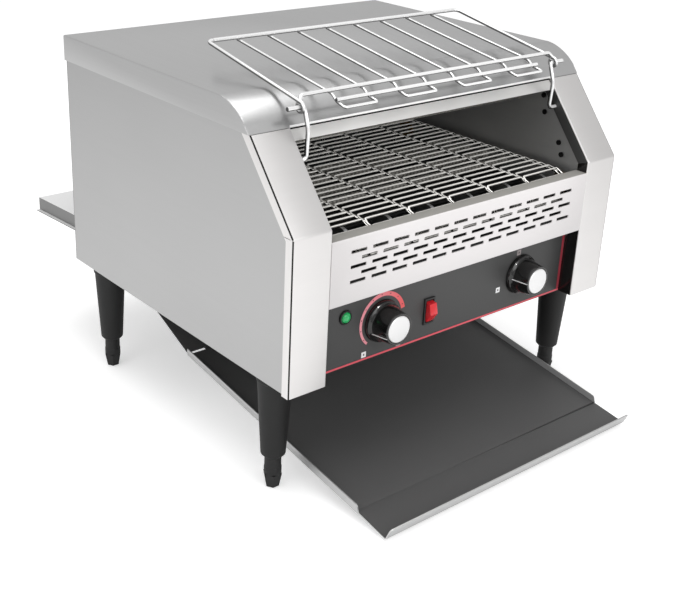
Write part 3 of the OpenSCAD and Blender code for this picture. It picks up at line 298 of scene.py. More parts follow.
def brushed_steel(name, code, rough, grain, bump, spread=0.05, metal=1.0):
    """Brushed stainless: straight scratches that draw the shine out across them"""
    made, tree, place = new_material(name)
    # Streaks per metre: real scratches are 0.1 mm wide, and 5 mm is about as fine as shows
    stretch = add_node(tree, "ShaderNodeMapping", {"Scale": grain}, {"Vector": place})
    scratch = add_node(tree, "ShaderNodeTexNoise", {"Scale": 1.0, "Detail": 6.0, "Roughness": 0.7},
                       {"Vector": stretch.outputs[0]})
    cloud = add_node(tree, "ShaderNodeTexNoise", {"Scale": 6.0, "Detail": 3.0}, {"Vector": place})
    haze = add_node(tree, "ShaderNodeMapRange", {"To Min": rough - 0.05, "To Max": rough + 0.05},
                    {"Value": cloud.outputs[0]})
    shade(tree, (code, code), scratch.outputs[0], {"Metallic": metal}, scratch.outputs[0], bump,
          spread=spread, links={"Roughness": haze.outputs[0]})
    return made


cover_low, cover_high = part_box("top_cover")
sheet = 0.0012
knee_z = 0.289
slope_d = 0.067
band_h = 0.028
bend_radius = 0.056
edge_round = 0.0016
margin = 0.001
lip_z = cover_high.z - band_h
slope = math.atan2(lip_z - knee_z, slope_d)


def front_point(height, inset=0.0):
    """Depth of the leaning front at a height, inset from its face"""
    return front_y + (height - knee_z) / math.tan(slope) + inset / math.sin(slope)


cover_paint = brushed_steel("brushed_stainless_cover", "D0D0D0", rough=0.30, grain=(220.0, 3.0, 220.0),
                            bump=0.25)
lip_y = front_point(lip_z)
crown_y = front_point(cover_high.z)
cover = plate((cover_low.x, (lip_y + cover_high.y) / 2, cover_high.z - band_h / 2),
              band_h, cover_high.y - lip_y, (0, math.pi / 2, 0))
choose(cover, "VERT", lambda c: c.y < lip_y + margin and near(c.z, cover_high.z))
bpy.ops.transform.translate(value=(0, crown_y - lip_y, 0))
choose(cover, "VERT", lambda c: near(c.y, crown_y) and near(c.z, cover_high.z))
bpy.ops.mesh.bevel(offset=bend_radius * math.tan(slope / 2), segments=24, affect="VERTICES")
bpy.ops.mesh.select_all(action="SELECT")
extrude(cover_high.x - cover_low.x, 0, 0)
choose(cover, "FACE", lambda c: near(c.z, lip_z))
bpy.ops.mesh.delete(type="FACE")
outward(cover)
choose(cover, "EDGE", lambda c: near(abs(c.x), cover_high.x) and c.z > lip_z + margin)
folded(cover, even=False)
smooth(cover)
fit_piece(cover, "cover_shell", "casing", "cover_steel", cover_paint, "top_cover")


# Front posts: channels of satin stainless steel, bent at the knee, with one
# flange folded over the side panel and one folded into the opening.
def block(middle, size):
    """A box about its middle"""
    deselect()
    bpy.ops.mesh.primitive_cube_add(size=1, location=middle)
    piece = bpy.context.object
    piece.scale = size
    settle()
    return piece


def cut(piece, cutter):
    """Cut a piece and take the cutter away"""
    modified(piece, "BOOLEAN", operation="DIFFERENCE", solver="EXACT", object=cutter)
    bpy.data.objects.remove(cutter)


def flip(piece):
    """Turn every face of a piece round"""
    choose(piece, "FACE")
    bpy.ops.mesh.flip_normals()
    end_edit()


def mirrored(piece):
    """A copy of a piece on the other side of the middle"""
    hold(piece)
    bpy.ops.object.duplicate()
    copy = bpy.context.object
    copy.scale.x = -1
    settle()
    flip(copy)
    return copy


# Satin, brushed across, is pale with a soft shine; the inner flange is painted dark grey as the shade
# it lies in above the knee and is glossy black under it, and the outer fold gets a painted dark reflection
post_paint = brushed_steel("satin_stainless_posts", "ECEAE9", rough=0.42, grain=(3.0, 200.0, 60.0),
                           bump=0.12, spread=0.02)
painted_shade_steel = brushed_steel("painted_shade_inner_steel", "5A5A5A", rough=0.50, grain=(3.0, 60.0, 60.0),
                             bump=0.10, spread=0.04)
glossy_black_flange = brushed_steel("glossy_black_inner_flange", "121010", rough=0.14, grain=(3.0, 3.0, 3.0),
                           bump=0.02, spread=0.02, metal=0.0)
dark_reflection_steel = brushed_steel("painted_dark_reflection_on_fold", "2E2E2E", rough=0.50, grain=(3.0, 60.0, 60.0),
                           bump=0.10, spread=0.04)
post_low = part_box("front_post_right")[0]
inner_x = 0.1855
outer_x = 0.2325
post_flange = 0.010
post_return = 0.014
panel_depth = 0.0202
post_gap = 0.0004
post_top = lip_z - post_gap
slit_h = 0.0008
# Share of a face's normal along an axis from which it looks straight or partly along it
straight_on = 0.9
glancing = 0.2
upright = (math.pi / 2, 0, 0)
top_y = front_point(post_top)
post = plate(((inner_x + outer_x) / 2, front_y, (post_low.z + knee_z) / 2),
             outer_x - inner_x, knee_z - post_low.z, upright)
choose(post, "EDGE", lambda c: near(c.z, knee_z))
extrude(0, top_y - front_y, post_top - knee_z)
for side_x, low_w, high_w in ((outer_x, post_flange, post_flange), (inner_x, panel_depth, post_return)):
    choose(post, "EDGE", lambda c: near(c.x, side_x))
    extrude(0, low_w, 0)
    choose(post, "VERT", lambda c: near(c.x, side_x) and c.y > front_y + margin and near(c.z, knee_z))
    drop = high_w * math.tan(math.pi / 4 - slope / 2)
    bpy.ops.transform.translate(value=(0, high_w - low_w, -drop))
    choose(post, "VERT", lambda c: near(c.x, side_x) and near(c.y, top_y + low_w) and near(c.z, post_top))
    bpy.ops.transform.translate(value=(0, high_w / math.sin(slope) - low_w, 0))
outward(post)
choose(post, "EDGE", lambda c: (near(c.x, outer_x) or near(c.x, inner_x))
       and near(c.y, max(front_y, front_point(c.z)), 1e-4)
       and not near(c.z, post_low.z) and not near(c.z, post_top))
folded(post)
smooth(post)
cut(post, block((outer_x, front_y + post_flange / 2 + 2 * edge_round, knee_z),
                (3 * sheet, post_flange, slit_h)))
coat(post, post_paint, painted_shade_steel, glossy_black_flange, dark_reflection_steel)
# Inner flange: painted shade above the knee, glossy black under it; outer fold: a painted dark reflection
for face in post.data.polygons:
    if near(face.center.x, inner_x, 1e-4) and face.normal.x < -straight_on:
        face.material_index = 1 if face.center.z > knee_z else 2
    elif (face.center.x > outer_x - edge_round and glancing < face.normal.x < 1 - glancing
          and face.normal.y < -glancing):
        face.material_index = 3
left_post = mirrored(post)
fit_piece(post, "post_right", "casing", "post_steel", None, "front_post_right")
fit_piece(left_post, "post_left", "casing", "post_steel", None, "front_post_left")


# Fascia: a folded strip of bright stainless steel behind the cover's front
# edge, set back under the cover's rolled hem, its top painted near black as shade.
fascia_low, fascia_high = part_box("fascia")
# The strip is bright steel; the hem is painted white as a highlight, and the strip's top near black as
# shade
fascia_paint = brushed_steel("brushed_stainless_fascia", "F2F1EF", rough=0.40, grain=(3.0, 200.0, 200.0),
                             bump=0.10, spread=0.02)
painted_gap_shade = brushed_steel("painted_shade_fascia_top", "0C0C0C", rough=0.60, grain=(3.0, 200.0, 200.0),
                          bump=0.10, spread=0.02)
hem_highlight_paint = brushed_steel("painted_highlight_cover_hem", "FFFFFF", rough=0.30, grain=(3.0, 200.0, 200.0),
                          bump=0.02, spread=0.02, metal=0.45)
fascia_in = 2 * sheet
fascia_lip = 0.009
hem_r = 0.0010
hem_gap = 0.0022
hem_z = lip_z + hem_r
fascia_top = lip_z - hem_gap
fold_y = front_point(fascia_low.z, fascia_in)
fascia = plate((0, fold_y + fascia_lip / 2, fascia_low.z), fascia_high.x - fascia_low.x, fascia_lip)
choose(fascia, "EDGE", lambda c: near(c.y, fold_y))
extrude(0, front_point(fascia_top) - front_point(fascia_low.z), fascia_top - fascia_low.z)
extrude(0, lip_y - front_point(fascia_top), lip_z - fascia_top)
outward(fascia)
if sum(f.normal.y * f.area for f in fascia.data.polygons) > 0:
    flip(fascia)
choose(fascia, "EDGE", lambda c: near(c.z, fascia_low.z) and near(c.y, fold_y))
folded(fascia)
smooth(fascia)
coat(fascia, fascia_paint, painted_gap_shade)
# Faces above the gap get the painted shade
for face in fascia.data.polygons:
    if face.center.z > fascia_top:
        face.material_index = 1
fit_piece(fascia, "fascia_strip", "casing", "casing_steel", None, "fascia")

# Rolled hem along the cover's edge, painted white as a highlight
deselect()
bpy.ops.mesh.primitive_cylinder_add(vertices=16, radius=hem_r, depth=2 * inner_x,
                                    rotation=(0, math.pi / 2, 0),
                                    location=(0, front_point(hem_z) - hem_r / 2, hem_z))
hem = bpy.context.object
settle()
outward(hem)
smooth(hem, 40)
fit_piece(hem, "cover_hem", "casing", "cover_steel", hem_highlight_paint)


# Grille: a flat plate of white powder coated steel under the belt's front end,
# with staggered punched slots, folded back along its top and its foot.
def copied(piece, place, turn=(0, 0, 0)):
    """A copy of a piece, with a mesh of its own, at another place"""
    copy = piece.copy()
    copy.data = piece.data.copy()
    bpy.context.collection.objects.link(copy)
    copy.location = place
    copy.rotation_euler = turn
    return copy


def joined(pieces):
    """Join pieces into the first, with its place in its mesh"""
    hold(pieces[0])
    for piece in pieces:
        piece.select_set(True)
    bpy.ops.object.join()
    settle()
    return pieces[0]


grille_low, grille_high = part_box("grille_panel")
slot_count = 12
slot_rows = 5
slot_size = (0.020, 0.006, 0.0036)
slot_corner = slot_size[2] * 0.2
slot_pitch = 0.0275
row_pitch = 0.00775
top_row_z = 0.2615
ledge_depth = 0.016
# Powder coat: a skin like orange peel, 1 mm across, over faint clouds
white_paint, tree, place = new_material("powder_coated_white_steel")
peel = add_node(tree, "ShaderNodeTexNoise", {"Scale": 900.0, "Detail": 3.0}, {"Vector": place})
cloud = add_node(tree, "ShaderNodeTexNoise", {"Scale": 9.0, "Detail": 2.0}, {"Vector": place})
shade(tree, ("D4D1D1", "DAD7D7"), cloud.outputs[0], {"Roughness": 0.42},
      peel.outputs[0], bump=0.12)
# The ledge under the toast is painted a darker grey as shade, with specks 8 mm across
ledge_shade_paint, tree, place = new_material("painted_shade_on_the_ledge")
speck = add_node(tree, "ShaderNodeTexNoise", {"Scale": 120.0, "Detail": 4.0}, {"Vector": place})
shade(tree, ("8C8A86", "96948F"), speck.outputs[0], {"Roughness": 0.5})

grille = plate((0, front_y, (grille_low.z + grille_high.z) / 2),
               grille_high.x - grille_low.x, grille_high.z - grille_low.z, upright)
choose(grille, "EDGE", lambda c: near(c.z, grille_high.z))
extrude(0, ledge_depth, 0)
choose(grille, "EDGE", lambda c: near(c.z, grille_low.z))
extrude(0, grille_high.y - front_y, 0)
outward(grille)
choose(grille, "EDGE", lambda c: near(c.y, front_y) and near(c.x, 0))
folded(grille)
punch = block((0, front_y, 0), slot_size)
choose(punch, "EDGE", lambda c: near(c.y, front_y))
bpy.ops.mesh.bevel(offset=slot_corner, segments=2, affect="EDGES")
end_edit()
punches = []
for row in range(slot_rows):
    count = slot_count - row % 2
    for i in range(count):
        place = ((i - (count - 1) / 2) * slot_pitch, 0, top_row_z - row * row_pitch)
        punches.append(copied(punch, place))
bpy.data.objects.remove(punch)
cut(grille, joined(punches))
smooth(grille)
coat(grille, white_paint, ledge_shade_paint)
# The ledge's top faces get the painted shade
for face in grille.data.polygons:
    if face.center.y > front_y + 2 * edge_round and face.center.z > grille_high.z - 2 * sheet:
        face.material_index = 1
fit_piece(grille, "grille_plate", "casing", "grille_paint", None, "grille_panel")


# Control panel: a steel plate under a dark printed polyester film, with a red
# line along its foot and one up its right side.
def paint_nodes(paint, *nodes):
    """Give CAD nodes their finish"""
    for node in nodes:
        coat(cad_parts[node], paint)


def flat_patch(name, low, high, level, paint):
    """A thin printed patch on the panel, between two corners given across and up"""
    patch = plate(((low[0] + high[0]) / 2, level, (low[1] + high[1]) / 2),
                  high[0] - low[0], high[1] - low[1], upright)
    choose(patch, "FACE")
    extrude(0, -ink_t, 0)
    outward(patch)
    fit_piece(patch, name, "casing", "panel_film", paint)


def plain_gloss(name, code, rough, grain, bump, coat=0.0, metal=0.0):
    """A moulded, printed or cast surface: a faint grain, given per metre, and a slightly uneven tone"""
    made, tree, place = new_material(name)
    fine = add_node(tree, "ShaderNodeTexNoise", {"Scale": grain, "Detail": 4.0}, {"Vector": place})
    cloud = add_node(tree, "ShaderNodeTexNoise", {"Scale": 14.0, "Detail": 2.0}, {"Vector": place})
    uneven = add_node(tree, "ShaderNodeMapRange", {"To Min": rough - 0.04, "To Max": rough + 0.04},
                      {"Value": fine.outputs[0]})
    shade(tree, (code, code), cloud.outputs[0], {"Metallic": metal, "Coat Weight": coat},
          fine.outputs[0], bump, spread=0.04, links={"Roughness": uneven.outputs[0]})
    return made


# Screen printed inks on matt film: flat colours with a dull shine
film = plain_gloss("printed_polyester_film", "3C3C3C", rough=0.45, grain=700.0, bump=0.10)
red_ink = plain_gloss("red_printed_line", "D9525F", rough=0.45, grain=500.0, bump=0.05)
# The side line is the same red ink, painted darker as shade
red_ink_painted_shade = plain_gloss("red_printed_line_painted_shade", "9C3440", rough=0.45, grain=500.0, bump=0.05)
white_ink = plain_gloss("white_printed_sign", "E9E9E9", rough=0.5, grain=500.0, bump=0.05)
grey_ink = plain_gloss("grey_printed_sign", "8E8686", rough=0.5, grain=500.0, bump=0.05)
panel_low, panel_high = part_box("control_panel")
panel_y = panel_low.y
ink_t = 0.0002
line_w = 0.0020
side_line_w = 0.0038
line_in = 0.0004
line_left = panel_low.x + line_in
line_right = panel_high.x - line_in
line_foot = panel_low.z + line_in
line_top = line_foot + line_w
paint_nodes(film, "control_panel")
flat_patch("red_line_foot", (line_left, line_foot), (line_right, line_top), panel_y, red_ink)
# The side line gets the painted shade
flat_patch("red_line_side", (line_right - side_line_w, line_top), (line_right, panel_high.z - line_in),
           panel_y, red_ink_painted_shade)


# Speed scale: a printed arc that widens and reddens clockwise towards fast,
# with small dark marks, and square signs with a dark dot by both knobs.
def drawn(points):
    """A line of edges through points, its last point selected in edit mode"""
    deselect()
    bpy.ops.mesh.primitive_plane_add(size=0.001, location=points[0])
    piece = bpy.context.object
    settle()
    choose(piece, "VERT")
    bpy.ops.mesh.merge(type="CENTER")
    for a, b in zip(points, points[1:]):
        extrude(*(b - a))
    return piece


knob_z = 0.166
speed_x = -0.098
select_x = 0.112
scale_from = math.radians(228)
scale_turn = math.radians(215)
scale_inner = 0.0270
scale_outer = 0.034
scale_thin = 0.0026
scale_wide = 0.0052
scale_steps = 60
hair = 1e-4
mark_count = 9
mark_radius = 0.0006
mark_start = 0.6
mark_out = 0.55
sign_size = 0.0062
# The ink runs from pink at the left to red at the right
scale_ink, tree, place = new_material("scale_ink_pink_to_red")
across = add_node(tree, "ShaderNodeSeparateXYZ", links={0: place})
reddening = add_node(tree, "ShaderNodeMapRange",
                     {"From Min": speed_x - scale_outer, "From Max": speed_x + scale_outer},
                     {"Value": across.outputs[0]})
fine = add_node(tree, "ShaderNodeTexNoise", {"Scale": 500.0}, {"Vector": place})
shade(tree, ("E79AA5", "DD4B4B"), reddening.outputs[0], {"Roughness": 0.45},
      fine.outputs[0], bump=0.05, distance=0.0001)


def scale_width(swept):
    """Width of the printed arc after an angle from its start"""
    return scale_thin + (scale_wide - scale_thin) * swept / scale_turn


scale_y = panel_y - ink_t
start = Vector((math.cos(scale_from), 0, math.sin(scale_from)))
centre = Vector((speed_x, scale_y, knob_z))
speed_scale = drawn([centre + start * scale_inner, centre + start * (scale_inner + margin)])
choose(speed_scale, "EDGE")
bpy.ops.mesh.spin(steps=scale_steps, angle=-scale_turn, center=centre, axis=(0, 1, 0))
end_edit()
for corner in speed_scale.data.vertices:
    arm = corner.co - centre
    if arm.length > scale_inner + margin / 2:
        # A hair is added so that rounding cannot put the start a whole turn on
        swept = (scale_from - math.atan2(arm.z, arm.x) + hair) % (2 * math.pi)
        corner.co = centre + arm.normalized() * (scale_inner + scale_width(swept))
modified(speed_scale, "SOLIDIFY", thickness=ink_t, offset=0)
outward(speed_scale)
fit_piece(speed_scale, "speed_scale", "casing", "panel_film", scale_ink)

deselect()
bpy.ops.mesh.primitive_circle_add(vertices=12, radius=mark_radius, fill_type="NGON", rotation=upright)
mark = bpy.context.object
settle()
choose(mark, "FACE")
extrude(0, -ink_t, 0)
outward(mark)
marks = []
for i in range(mark_count):
    swept = scale_turn * (i + mark_start) / mark_count
    angle = scale_from - swept
    radius = scale_inner + scale_width(swept) * mark_out
    place = (speed_x + radius * math.cos(angle), scale_y - ink_t, knob_z + radius * math.sin(angle))
    marks.append(copied(mark, place))
bpy.data.objects.remove(mark)
fit_piece(joined(marks), "scale_marks", "casing", "panel_film", film)

for i, (x, z, ink) in enumerate(((-0.1203, 0.1333, white_ink), (-0.0724, 0.1325, grey_ink),
                                 (0.0771, 0.1546, white_ink), (0.1066, 0.1928, grey_ink))):
    for name, wide, tall, level, paint in (("slice_sign", sign_size / 2, sign_size / 2, panel_y, ink),
                                           ("slice_dot", sign_size / 8, sign_size / 6, scale_y, film)):
        flat_patch(f"{name}_{i + 1}", (x - wide, z - tall), (x + wide, z + tall), level, paint)


# Knobs: glossy black moulded plastic, a wide skirt with a tapering grip, a
# white filled pointer line and a spun aluminium disc let into the face.
def turned(centre, profile, round_off=0.0, along=Vector((0, 1, 0)), out=Vector((0, 0, 1))):
    """Turn a profile, given along the axis and out from it, and round its corners"""
    points = [Vector(centre) + along * a + out * r for a, r in profile]
    piece = drawn(points)
    if round_off:
        choose(piece, "VERT", lambda c: any((c - p).length < 1e-6 for p in points[1:-1]))
        bpy.ops.mesh.bevel(offset=round_off, segments=3, affect="VERTICES")
    bpy.ops.mesh.select_all(action="SELECT")
    bpy.ops.mesh.spin(steps=64, angle=2 * math.pi, center=Vector(centre), axis=along)
    outward(piece)
    smooth(piece, 35)
    return piece


# Polished phenolic: deep black with small sharp highlights
black_gloss = plain_gloss("glossy_black_phenolic", "0E0E0E", rough=0.16, grain=300.0, bump=0.05, coat=0.5)
# Spun metal: a soft pale sheen, a little uneven every 25 mm
spun_aluminium, tree, place = new_material("spun_aluminium_disc")
sheen = add_node(tree, "ShaderNodeTexNoise", {"Scale": 40.0, "Detail": 4.0}, {"Vector": place})
shade(tree, ("EDEDED", "F6F6F6"), sheen.outputs[0], {"Metallic": 0.85, "Roughness": 0.38},
      sheen.outputs[0], bump=0.05, distance=0.0001)
skirt_r = 0.0235
skirt_t = 0.0045
grip_r = 0.0200
face_r = 0.0170
disc_r = 0.0145
disc_t = 0.0006
disc_sunk = 0.0005
stem_r = 0.003
stem_l = 0.004
grip_flare = 0.0012
knob_round = 0.0004
disc_round = 0.0002
pointer_w = 0.0009
pointer_out = 0.0004
pointer_in = 0.0012
pointer_sunk = 0.0002
speed_turn = math.radians(204)
select_turn = math.radians(180)
knob_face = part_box("speed_knob")[0].y
knob_sunk = 0.0005
knob_l = panel_y - knob_sunk - knob_face
skirt_at = knob_l - skirt_t
pointer_foot = skirt_at - 0.0005
for kind, x, turn in (("speed", speed_x, speed_turn), ("selector", select_x, select_turn)):
    # Each corner is given as its depth behind the face and its radius
    knob = turned((x, knob_face, knob_z),
                  [(disc_t, 0.0), (disc_t, disc_r + 0.0002), (0, disc_r + 0.0004), (0, face_r),
                   (skirt_at - 0.0020, grip_r - 0.0006), (skirt_at, grip_r + grip_flare),
                   (skirt_at + 0.0006, skirt_r - grip_flare), (knob_l, skirt_r), (knob_l, stem_r),
                   (knob_l + stem_l, stem_r), (knob_l + stem_l, 0.0)], knob_round)
    fit_piece(knob, kind + "_knob_body", kind + "_dial", "knob_plastic", black_gloss, kind + "_knob")
    disc = turned((x, knob_face, knob_z),
                  [(-disc_t, 0.0), (-disc_t, disc_r - disc_t), (0.0, disc_r), (disc_sunk, disc_r),
                   (disc_sunk, 0.0)], disc_round)
    fit_piece(disc, kind + "_disc", kind + "_dial", "cap_metal", spun_aluminium, kind + "_cap")
    pointer = block((0, knob_face + knob_l / 2, 0), (pointer_w, 1, 1))
    for corner in pointer.data.vertices:
        front = corner.co.y < knob_face + knob_l / 2
        reach = face_r if front else grip_r - pointer_sunk
        reach += pointer_out if corner.co.z > 0 else -pointer_in
        side = corner.co.x
        corner.co = (x + reach * math.cos(turn) - side * math.sin(turn),
                     knob_face + (pointer_sunk if front else pointer_foot),
                     knob_z + reach * math.sin(turn) + side * math.cos(turn))
    outward(pointer)
    fit_piece(pointer, kind + "_pointer", kind + "_dial", "knob_plastic", white_ink)


# Indicator lamp: a black nylon ring pressed in the panel, with a domed lens of
# green acrylic snapped into it.
lamp_x = -0.148
lamp_z = 0.183
ring_t = 0.0022
ring_r = 0.0080
lens_t = 0.0045
lens_r = 0.0058
# Facets 2 mm across break the light up under a smooth skin
lens_plastic, tree, place = new_material("green_acrylic_lens")
facet = add_node(tree, "ShaderNodeTexVoronoi", {"Scale": 500.0}, {"Vector": place}).outputs["Distance"]
shade(tree, ("0E9A4C", "2CC070"), facet, {"Roughness": 0.18, "Coat Weight": 0.4},
      facet, bump=0.3, distance=0.0003)
# Nylon from the mould: charcoal, dull, with a grain of 1 mm
black_plastic = plain_gloss("moulded_black_nylon", "181818", rough=0.38, grain=900.0, bump=0.15)
bezel = turned((lamp_x, panel_y - ring_t, lamp_z),
               [(0.0018, 0.0), (0.0018, 0.0056), (0.0, 0.0062), (0.0, 0.0072), (0.0014, ring_r),
                (ring_t, ring_r), (ring_t, 0.0)], 0.0003)
fit_piece(bezel, "lamp_ring", "casing", "black_plastic", black_plastic, "lamp_bezel")
lens = turned((lamp_x, panel_y - lens_t, lamp_z),
              [(0.0, 0.0), (0.0002, 0.0022), (0.0009, 0.0040), (0.0021, 0.0053), (0.0034, lens_r),
               (lens_t, lens_r), (lens_t, 0.0)])
fit_piece(lens, "lamp_dome", "casing", "green_lens", lens_plastic, "lamp_lens")


# Rocker switch: a black nylon frame with a red two-sided rocker on its pin,
# moulded in glossy polycarbonate.
switch_x = -0.031
switch_z = 0.159
switch_w = 0.0150
switch_h = 0.0300
frame_t = 0.0022
frame_sunk = 0.0003
frame_edge = 0.0005
rocker_half = 0.0052
rocker_tall = 0.0108
rocker_deep = 0.009
rocker_ridge = 0.0045
rocker_edge = 0.0006
rocker_out = 0.0005
rocker_tilt = math.radians(9)
# Polycarbonate: strong red with sharp highlights
red_gloss = plain_gloss("glossy_red_polycarbonate", "D3202A", rough=0.16, grain=300.0, bump=0.04, coat=0.5)
rim = block((switch_x, panel_y - frame_t / 2, switch_z), (switch_w, frame_t, switch_h))
choose(rim, "FACE", lambda c: near(c.y, panel_y - frame_t))
bpy.ops.mesh.inset(thickness=frame_t)
extrude(0, frame_t - frame_sunk, 0)
modified(rim, "BEVEL", width=frame_edge, segments=3, limit_method="ANGLE")
smooth(rim, 35)
fit_piece(rim, "switch_frame", "casing", "black_plastic", black_plastic, "switch_bezel")

rocker = block((switch_x, panel_y - rocker_out, switch_z),
               (2 * rocker_half, rocker_deep, 2 * rocker_tall))
choose(rocker, "FACE")
bpy.ops.mesh.bisect(plane_co=(0, 0, switch_z), plane_no=(0, 0, 1))
choose(rocker, "EDGE", lambda c: c.y < panel_y - margin and near(c.z, switch_z) and near(c.x, switch_x))
bpy.ops.transform.translate(value=(0, -rocker_ridge, 0))
modified(rocker, "BEVEL", width=rocker_edge, segments=3, limit_method="ANGLE")
choose(rocker, "VERT")
bpy.ops.transform.rotate(value=-rocker_tilt, orient_axis="X", center_override=(switch_x, panel_y, switch_z))
smooth(rocker, 35)
fit_piece(rocker, "rocker_button", "power_rocker", "red_rocker", red_gloss, "rocker")


# Sheet metal inside and behind: the other folded plates keep the CAD model's
# form. Stainless is a soft grey brushed outside and dulled by heat inside; the lower reflector is dark grey
# and the bulkhead painted as dark for the shade behind the grille; the chute and runners have a dark coat.
side_paint = brushed_steel("brushed_stainless_sides", "BDBDBD", rough=0.40, grain=(3.0, 3.0, 200.0),
                           bump=0.12, spread=0.02)
inner_paint = brushed_steel("heat_dulled_stainless", "A6A6A6", rough=0.58, grain=(4.0, 4.0, 160.0),
                            bump=0.10, spread=0.06)
pan_paint = brushed_steel("mill_finish_stainless", "9A9A9A", rough=0.40, grain=(160.0, 4.0, 4.0), bump=0.10)
mirror_paint = brushed_steel("bright_annealed_reflector", "C8C8C6", rough=0.18, grain=(4.0, 90.0, 4.0),
                             bump=0.06, spread=0.03)
dark_steel = brushed_steel("dark_grey_steel_and_painted_shade", "3A3A3A", rough=0.45, grain=(4.0, 90.0, 4.0),
                           bump=0.06)
dark_coat = plain_gloss("dark_non_stick_coat", "515151", rough=0.50, grain=900.0, bump=0.10)
paint_nodes(side_paint, "side_panel_left", "side_panel_right")
paint_nodes(inner_paint, "inner_wall_left", "inner_wall_right")
paint_nodes(pan_paint, "base_pan", "back_panel", "motor_bracket")
paint_nodes(mirror_paint, "upper_reflector")
# Dark grey; on the bulkhead it is painted shade behind the grille
paint_nodes(dark_steel, "lower_reflector", "bulkhead")
paint_nodes(dark_coat, "toast_chute", "tray_runners")


# Rear guard: a folded sheet of satin steel screwed to the back, painted pale on top
# as the light falls on it and darker on its upright faces.
def painted_light_steel(name, codes, rough, grain, bump, lit_metal, lit=(0, 0, 1), edge=(0.3, 0.7)):
    """Steel with painted light: faces are paler and less like a mirror the more they turn to the lit side
    """
    made, tree, place = new_material(name)
    stretch = add_node(tree, "ShaderNodeMapping", {"Scale": grain}, {"Vector": place})
    scratch = add_node(tree, "ShaderNodeTexNoise", {"Scale": 1.0, "Detail": 6.0},
                       {"Vector": stretch.outputs[0]})
    facing = add_node(tree, "ShaderNodeNewGeometry")
    towards = add_node(tree, "ShaderNodeVectorMath", {"operation": "DOT_PRODUCT", 1: lit},
                       {0: facing.outputs["Normal"]})
    share = add_node(tree, "ShaderNodeMapRange", {"From Min": edge[0], "From Max": edge[1]},
                     {"Value": towards.outputs["Value"]}).outputs[0]
    metal = add_node(tree, "ShaderNodeMapRange", {"To Min": 1.0, "To Max": lit_metal}, {"Value": share})
    shade(tree, codes, share, {"Roughness": rough}, scratch.outputs[0], bump,
          links={"Metallic": metal.outputs[0]})
    return made


# Painted light: the top faces pale, the upright ones darker
guard_paint = painted_light_steel("satin_guard_steel", ("8A8A8A", "F2F2F2"), rough=0.45,
                             grain=(3.0, 200.0, 3.0), bump=0.1, lit_metal=0.35)
paint_nodes(guard_paint, "rear_guard")


# Wire belt: straight wires with a hook at each column and a knuckle at each
# end, each hooked over the next one, running round both shafts.
def bent_wire(points, radius, bend=0.0, sides=8, least_turn=25, segments=4):
    """Bend a round wire through points: its corners rounded, then thickened"""
    points = [Vector(p) for p in points]
    piece = drawn(points)
    if bend:
        turns = [(q, (q - p).angle(r - q)) for p, q, r in zip(points, points[1:], points[2:])]
        corners = [q for q, turn in turns if math.degrees(turn) > least_turn]
        choose(piece, "VERT", lambda c: any((c - q).length < 1e-6 for q in corners))
        bpy.ops.mesh.bevel(offset=bend, segments=segments, affect="VERTICES")
    end_edit()
    bpy.ops.object.convert(target="CURVE")
    curve = bpy.context.object.data
    curve.bevel_depth = radius
    curve.bevel_resolution = sides // 2 - 2
    curve.use_fill_caps = True
    bpy.ops.object.convert(target="MESH")
    piece = bpy.context.object
    outward(piece)
    smooth(piece, 40)
    return piece


# Bright drawn wire with a painted reflection: white towards the light, black away from it, as in a mirror
wire_paint = painted_light_steel("belt_wire_painted_reflection", ("1E1D1C", "FFFDF8"), rough=0.24,
                            grain=(40.0, 40.0, 40.0), bump=0.05, lit_metal=0.40,
                            lit=(0.30, -0.50, 0.81), edge=(0.25, 0.50))
shaft_paint = brushed_steel("turned_steel_shaft", "B0B0B0", rough=0.30, grain=(200.0, 10.0, 10.0),
                            bump=0.08)
belt_width = 0.352
wire_r = 0.00115
belt_r = 0.019
belt_bays = 6
run_gaps = 22
turn_gaps = 5
shaft_low, shaft_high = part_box("front_shaft")
rear_low, rear_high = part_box("drive_shaft")
front_axis = (shaft_low.y + shaft_high.y) / 2
rear_axis = (rear_low.y + rear_high.y) / 2
axis_z = (shaft_low.z + shaft_high.z) / 2
belt_step = (rear_axis - front_axis) / run_gaps
half_turn = [math.pi * i / turn_gaps for i in range(1, turn_gaps)]
ring = [(rear_axis - i * belt_step, axis_z + belt_r) for i in range(run_gaps + 1)]
ring += [(front_axis - belt_r * math.sin(a), axis_z + belt_r * math.cos(a)) for a in half_turn]
ring += [(front_axis + i * belt_step, axis_z - belt_r) for i in range(run_gaps + 1)]
ring += [(rear_axis + belt_r * math.sin(a), axis_z - belt_r * math.cos(a)) for a in half_turn]

half_belt = belt_width / 2 - wire_r
bay = 2 * half_belt / belt_bays
hook_reach = belt_step + 2 * wire_r
hook_half = 0.0016
hook_root = hook_half + 0.0006
hook_dip = 0.0019
tip_dip = hook_dip * 0.8
hook_start = belt_step * 0.4
knuckle = 0.0050
knuckle_tail = 0.0024
tail_dip = hook_dip * 0.5
strand_bend = 0.0012
strand_end = [(-half_belt + knuckle, -knuckle_tail, -tail_dip),
              (-half_belt + knuckle, -hook_reach, -hook_dip), (-half_belt, -hook_reach, -hook_dip),
              (-half_belt, 0, 0)]
hook = [(-hook_root, 0, 0), (-hook_half, -hook_start, -hook_dip), (-hook_half, -hook_reach, -tip_dip),
        (hook_half, -hook_reach, -tip_dip), (hook_half, -hook_start, -hook_dip), (hook_root, 0, 0)]
strand_path = list(strand_end)
for column in range(1, belt_bays):
    strand_path += [(x - half_belt + column * bay, y, z) for x, y, z in hook]
strand_path += [(-x, y, z) for x, y, z in reversed(strand_end)]
strand = bent_wire(strand_path, wire_r, bend=strand_bend, segments=2)
strands = []
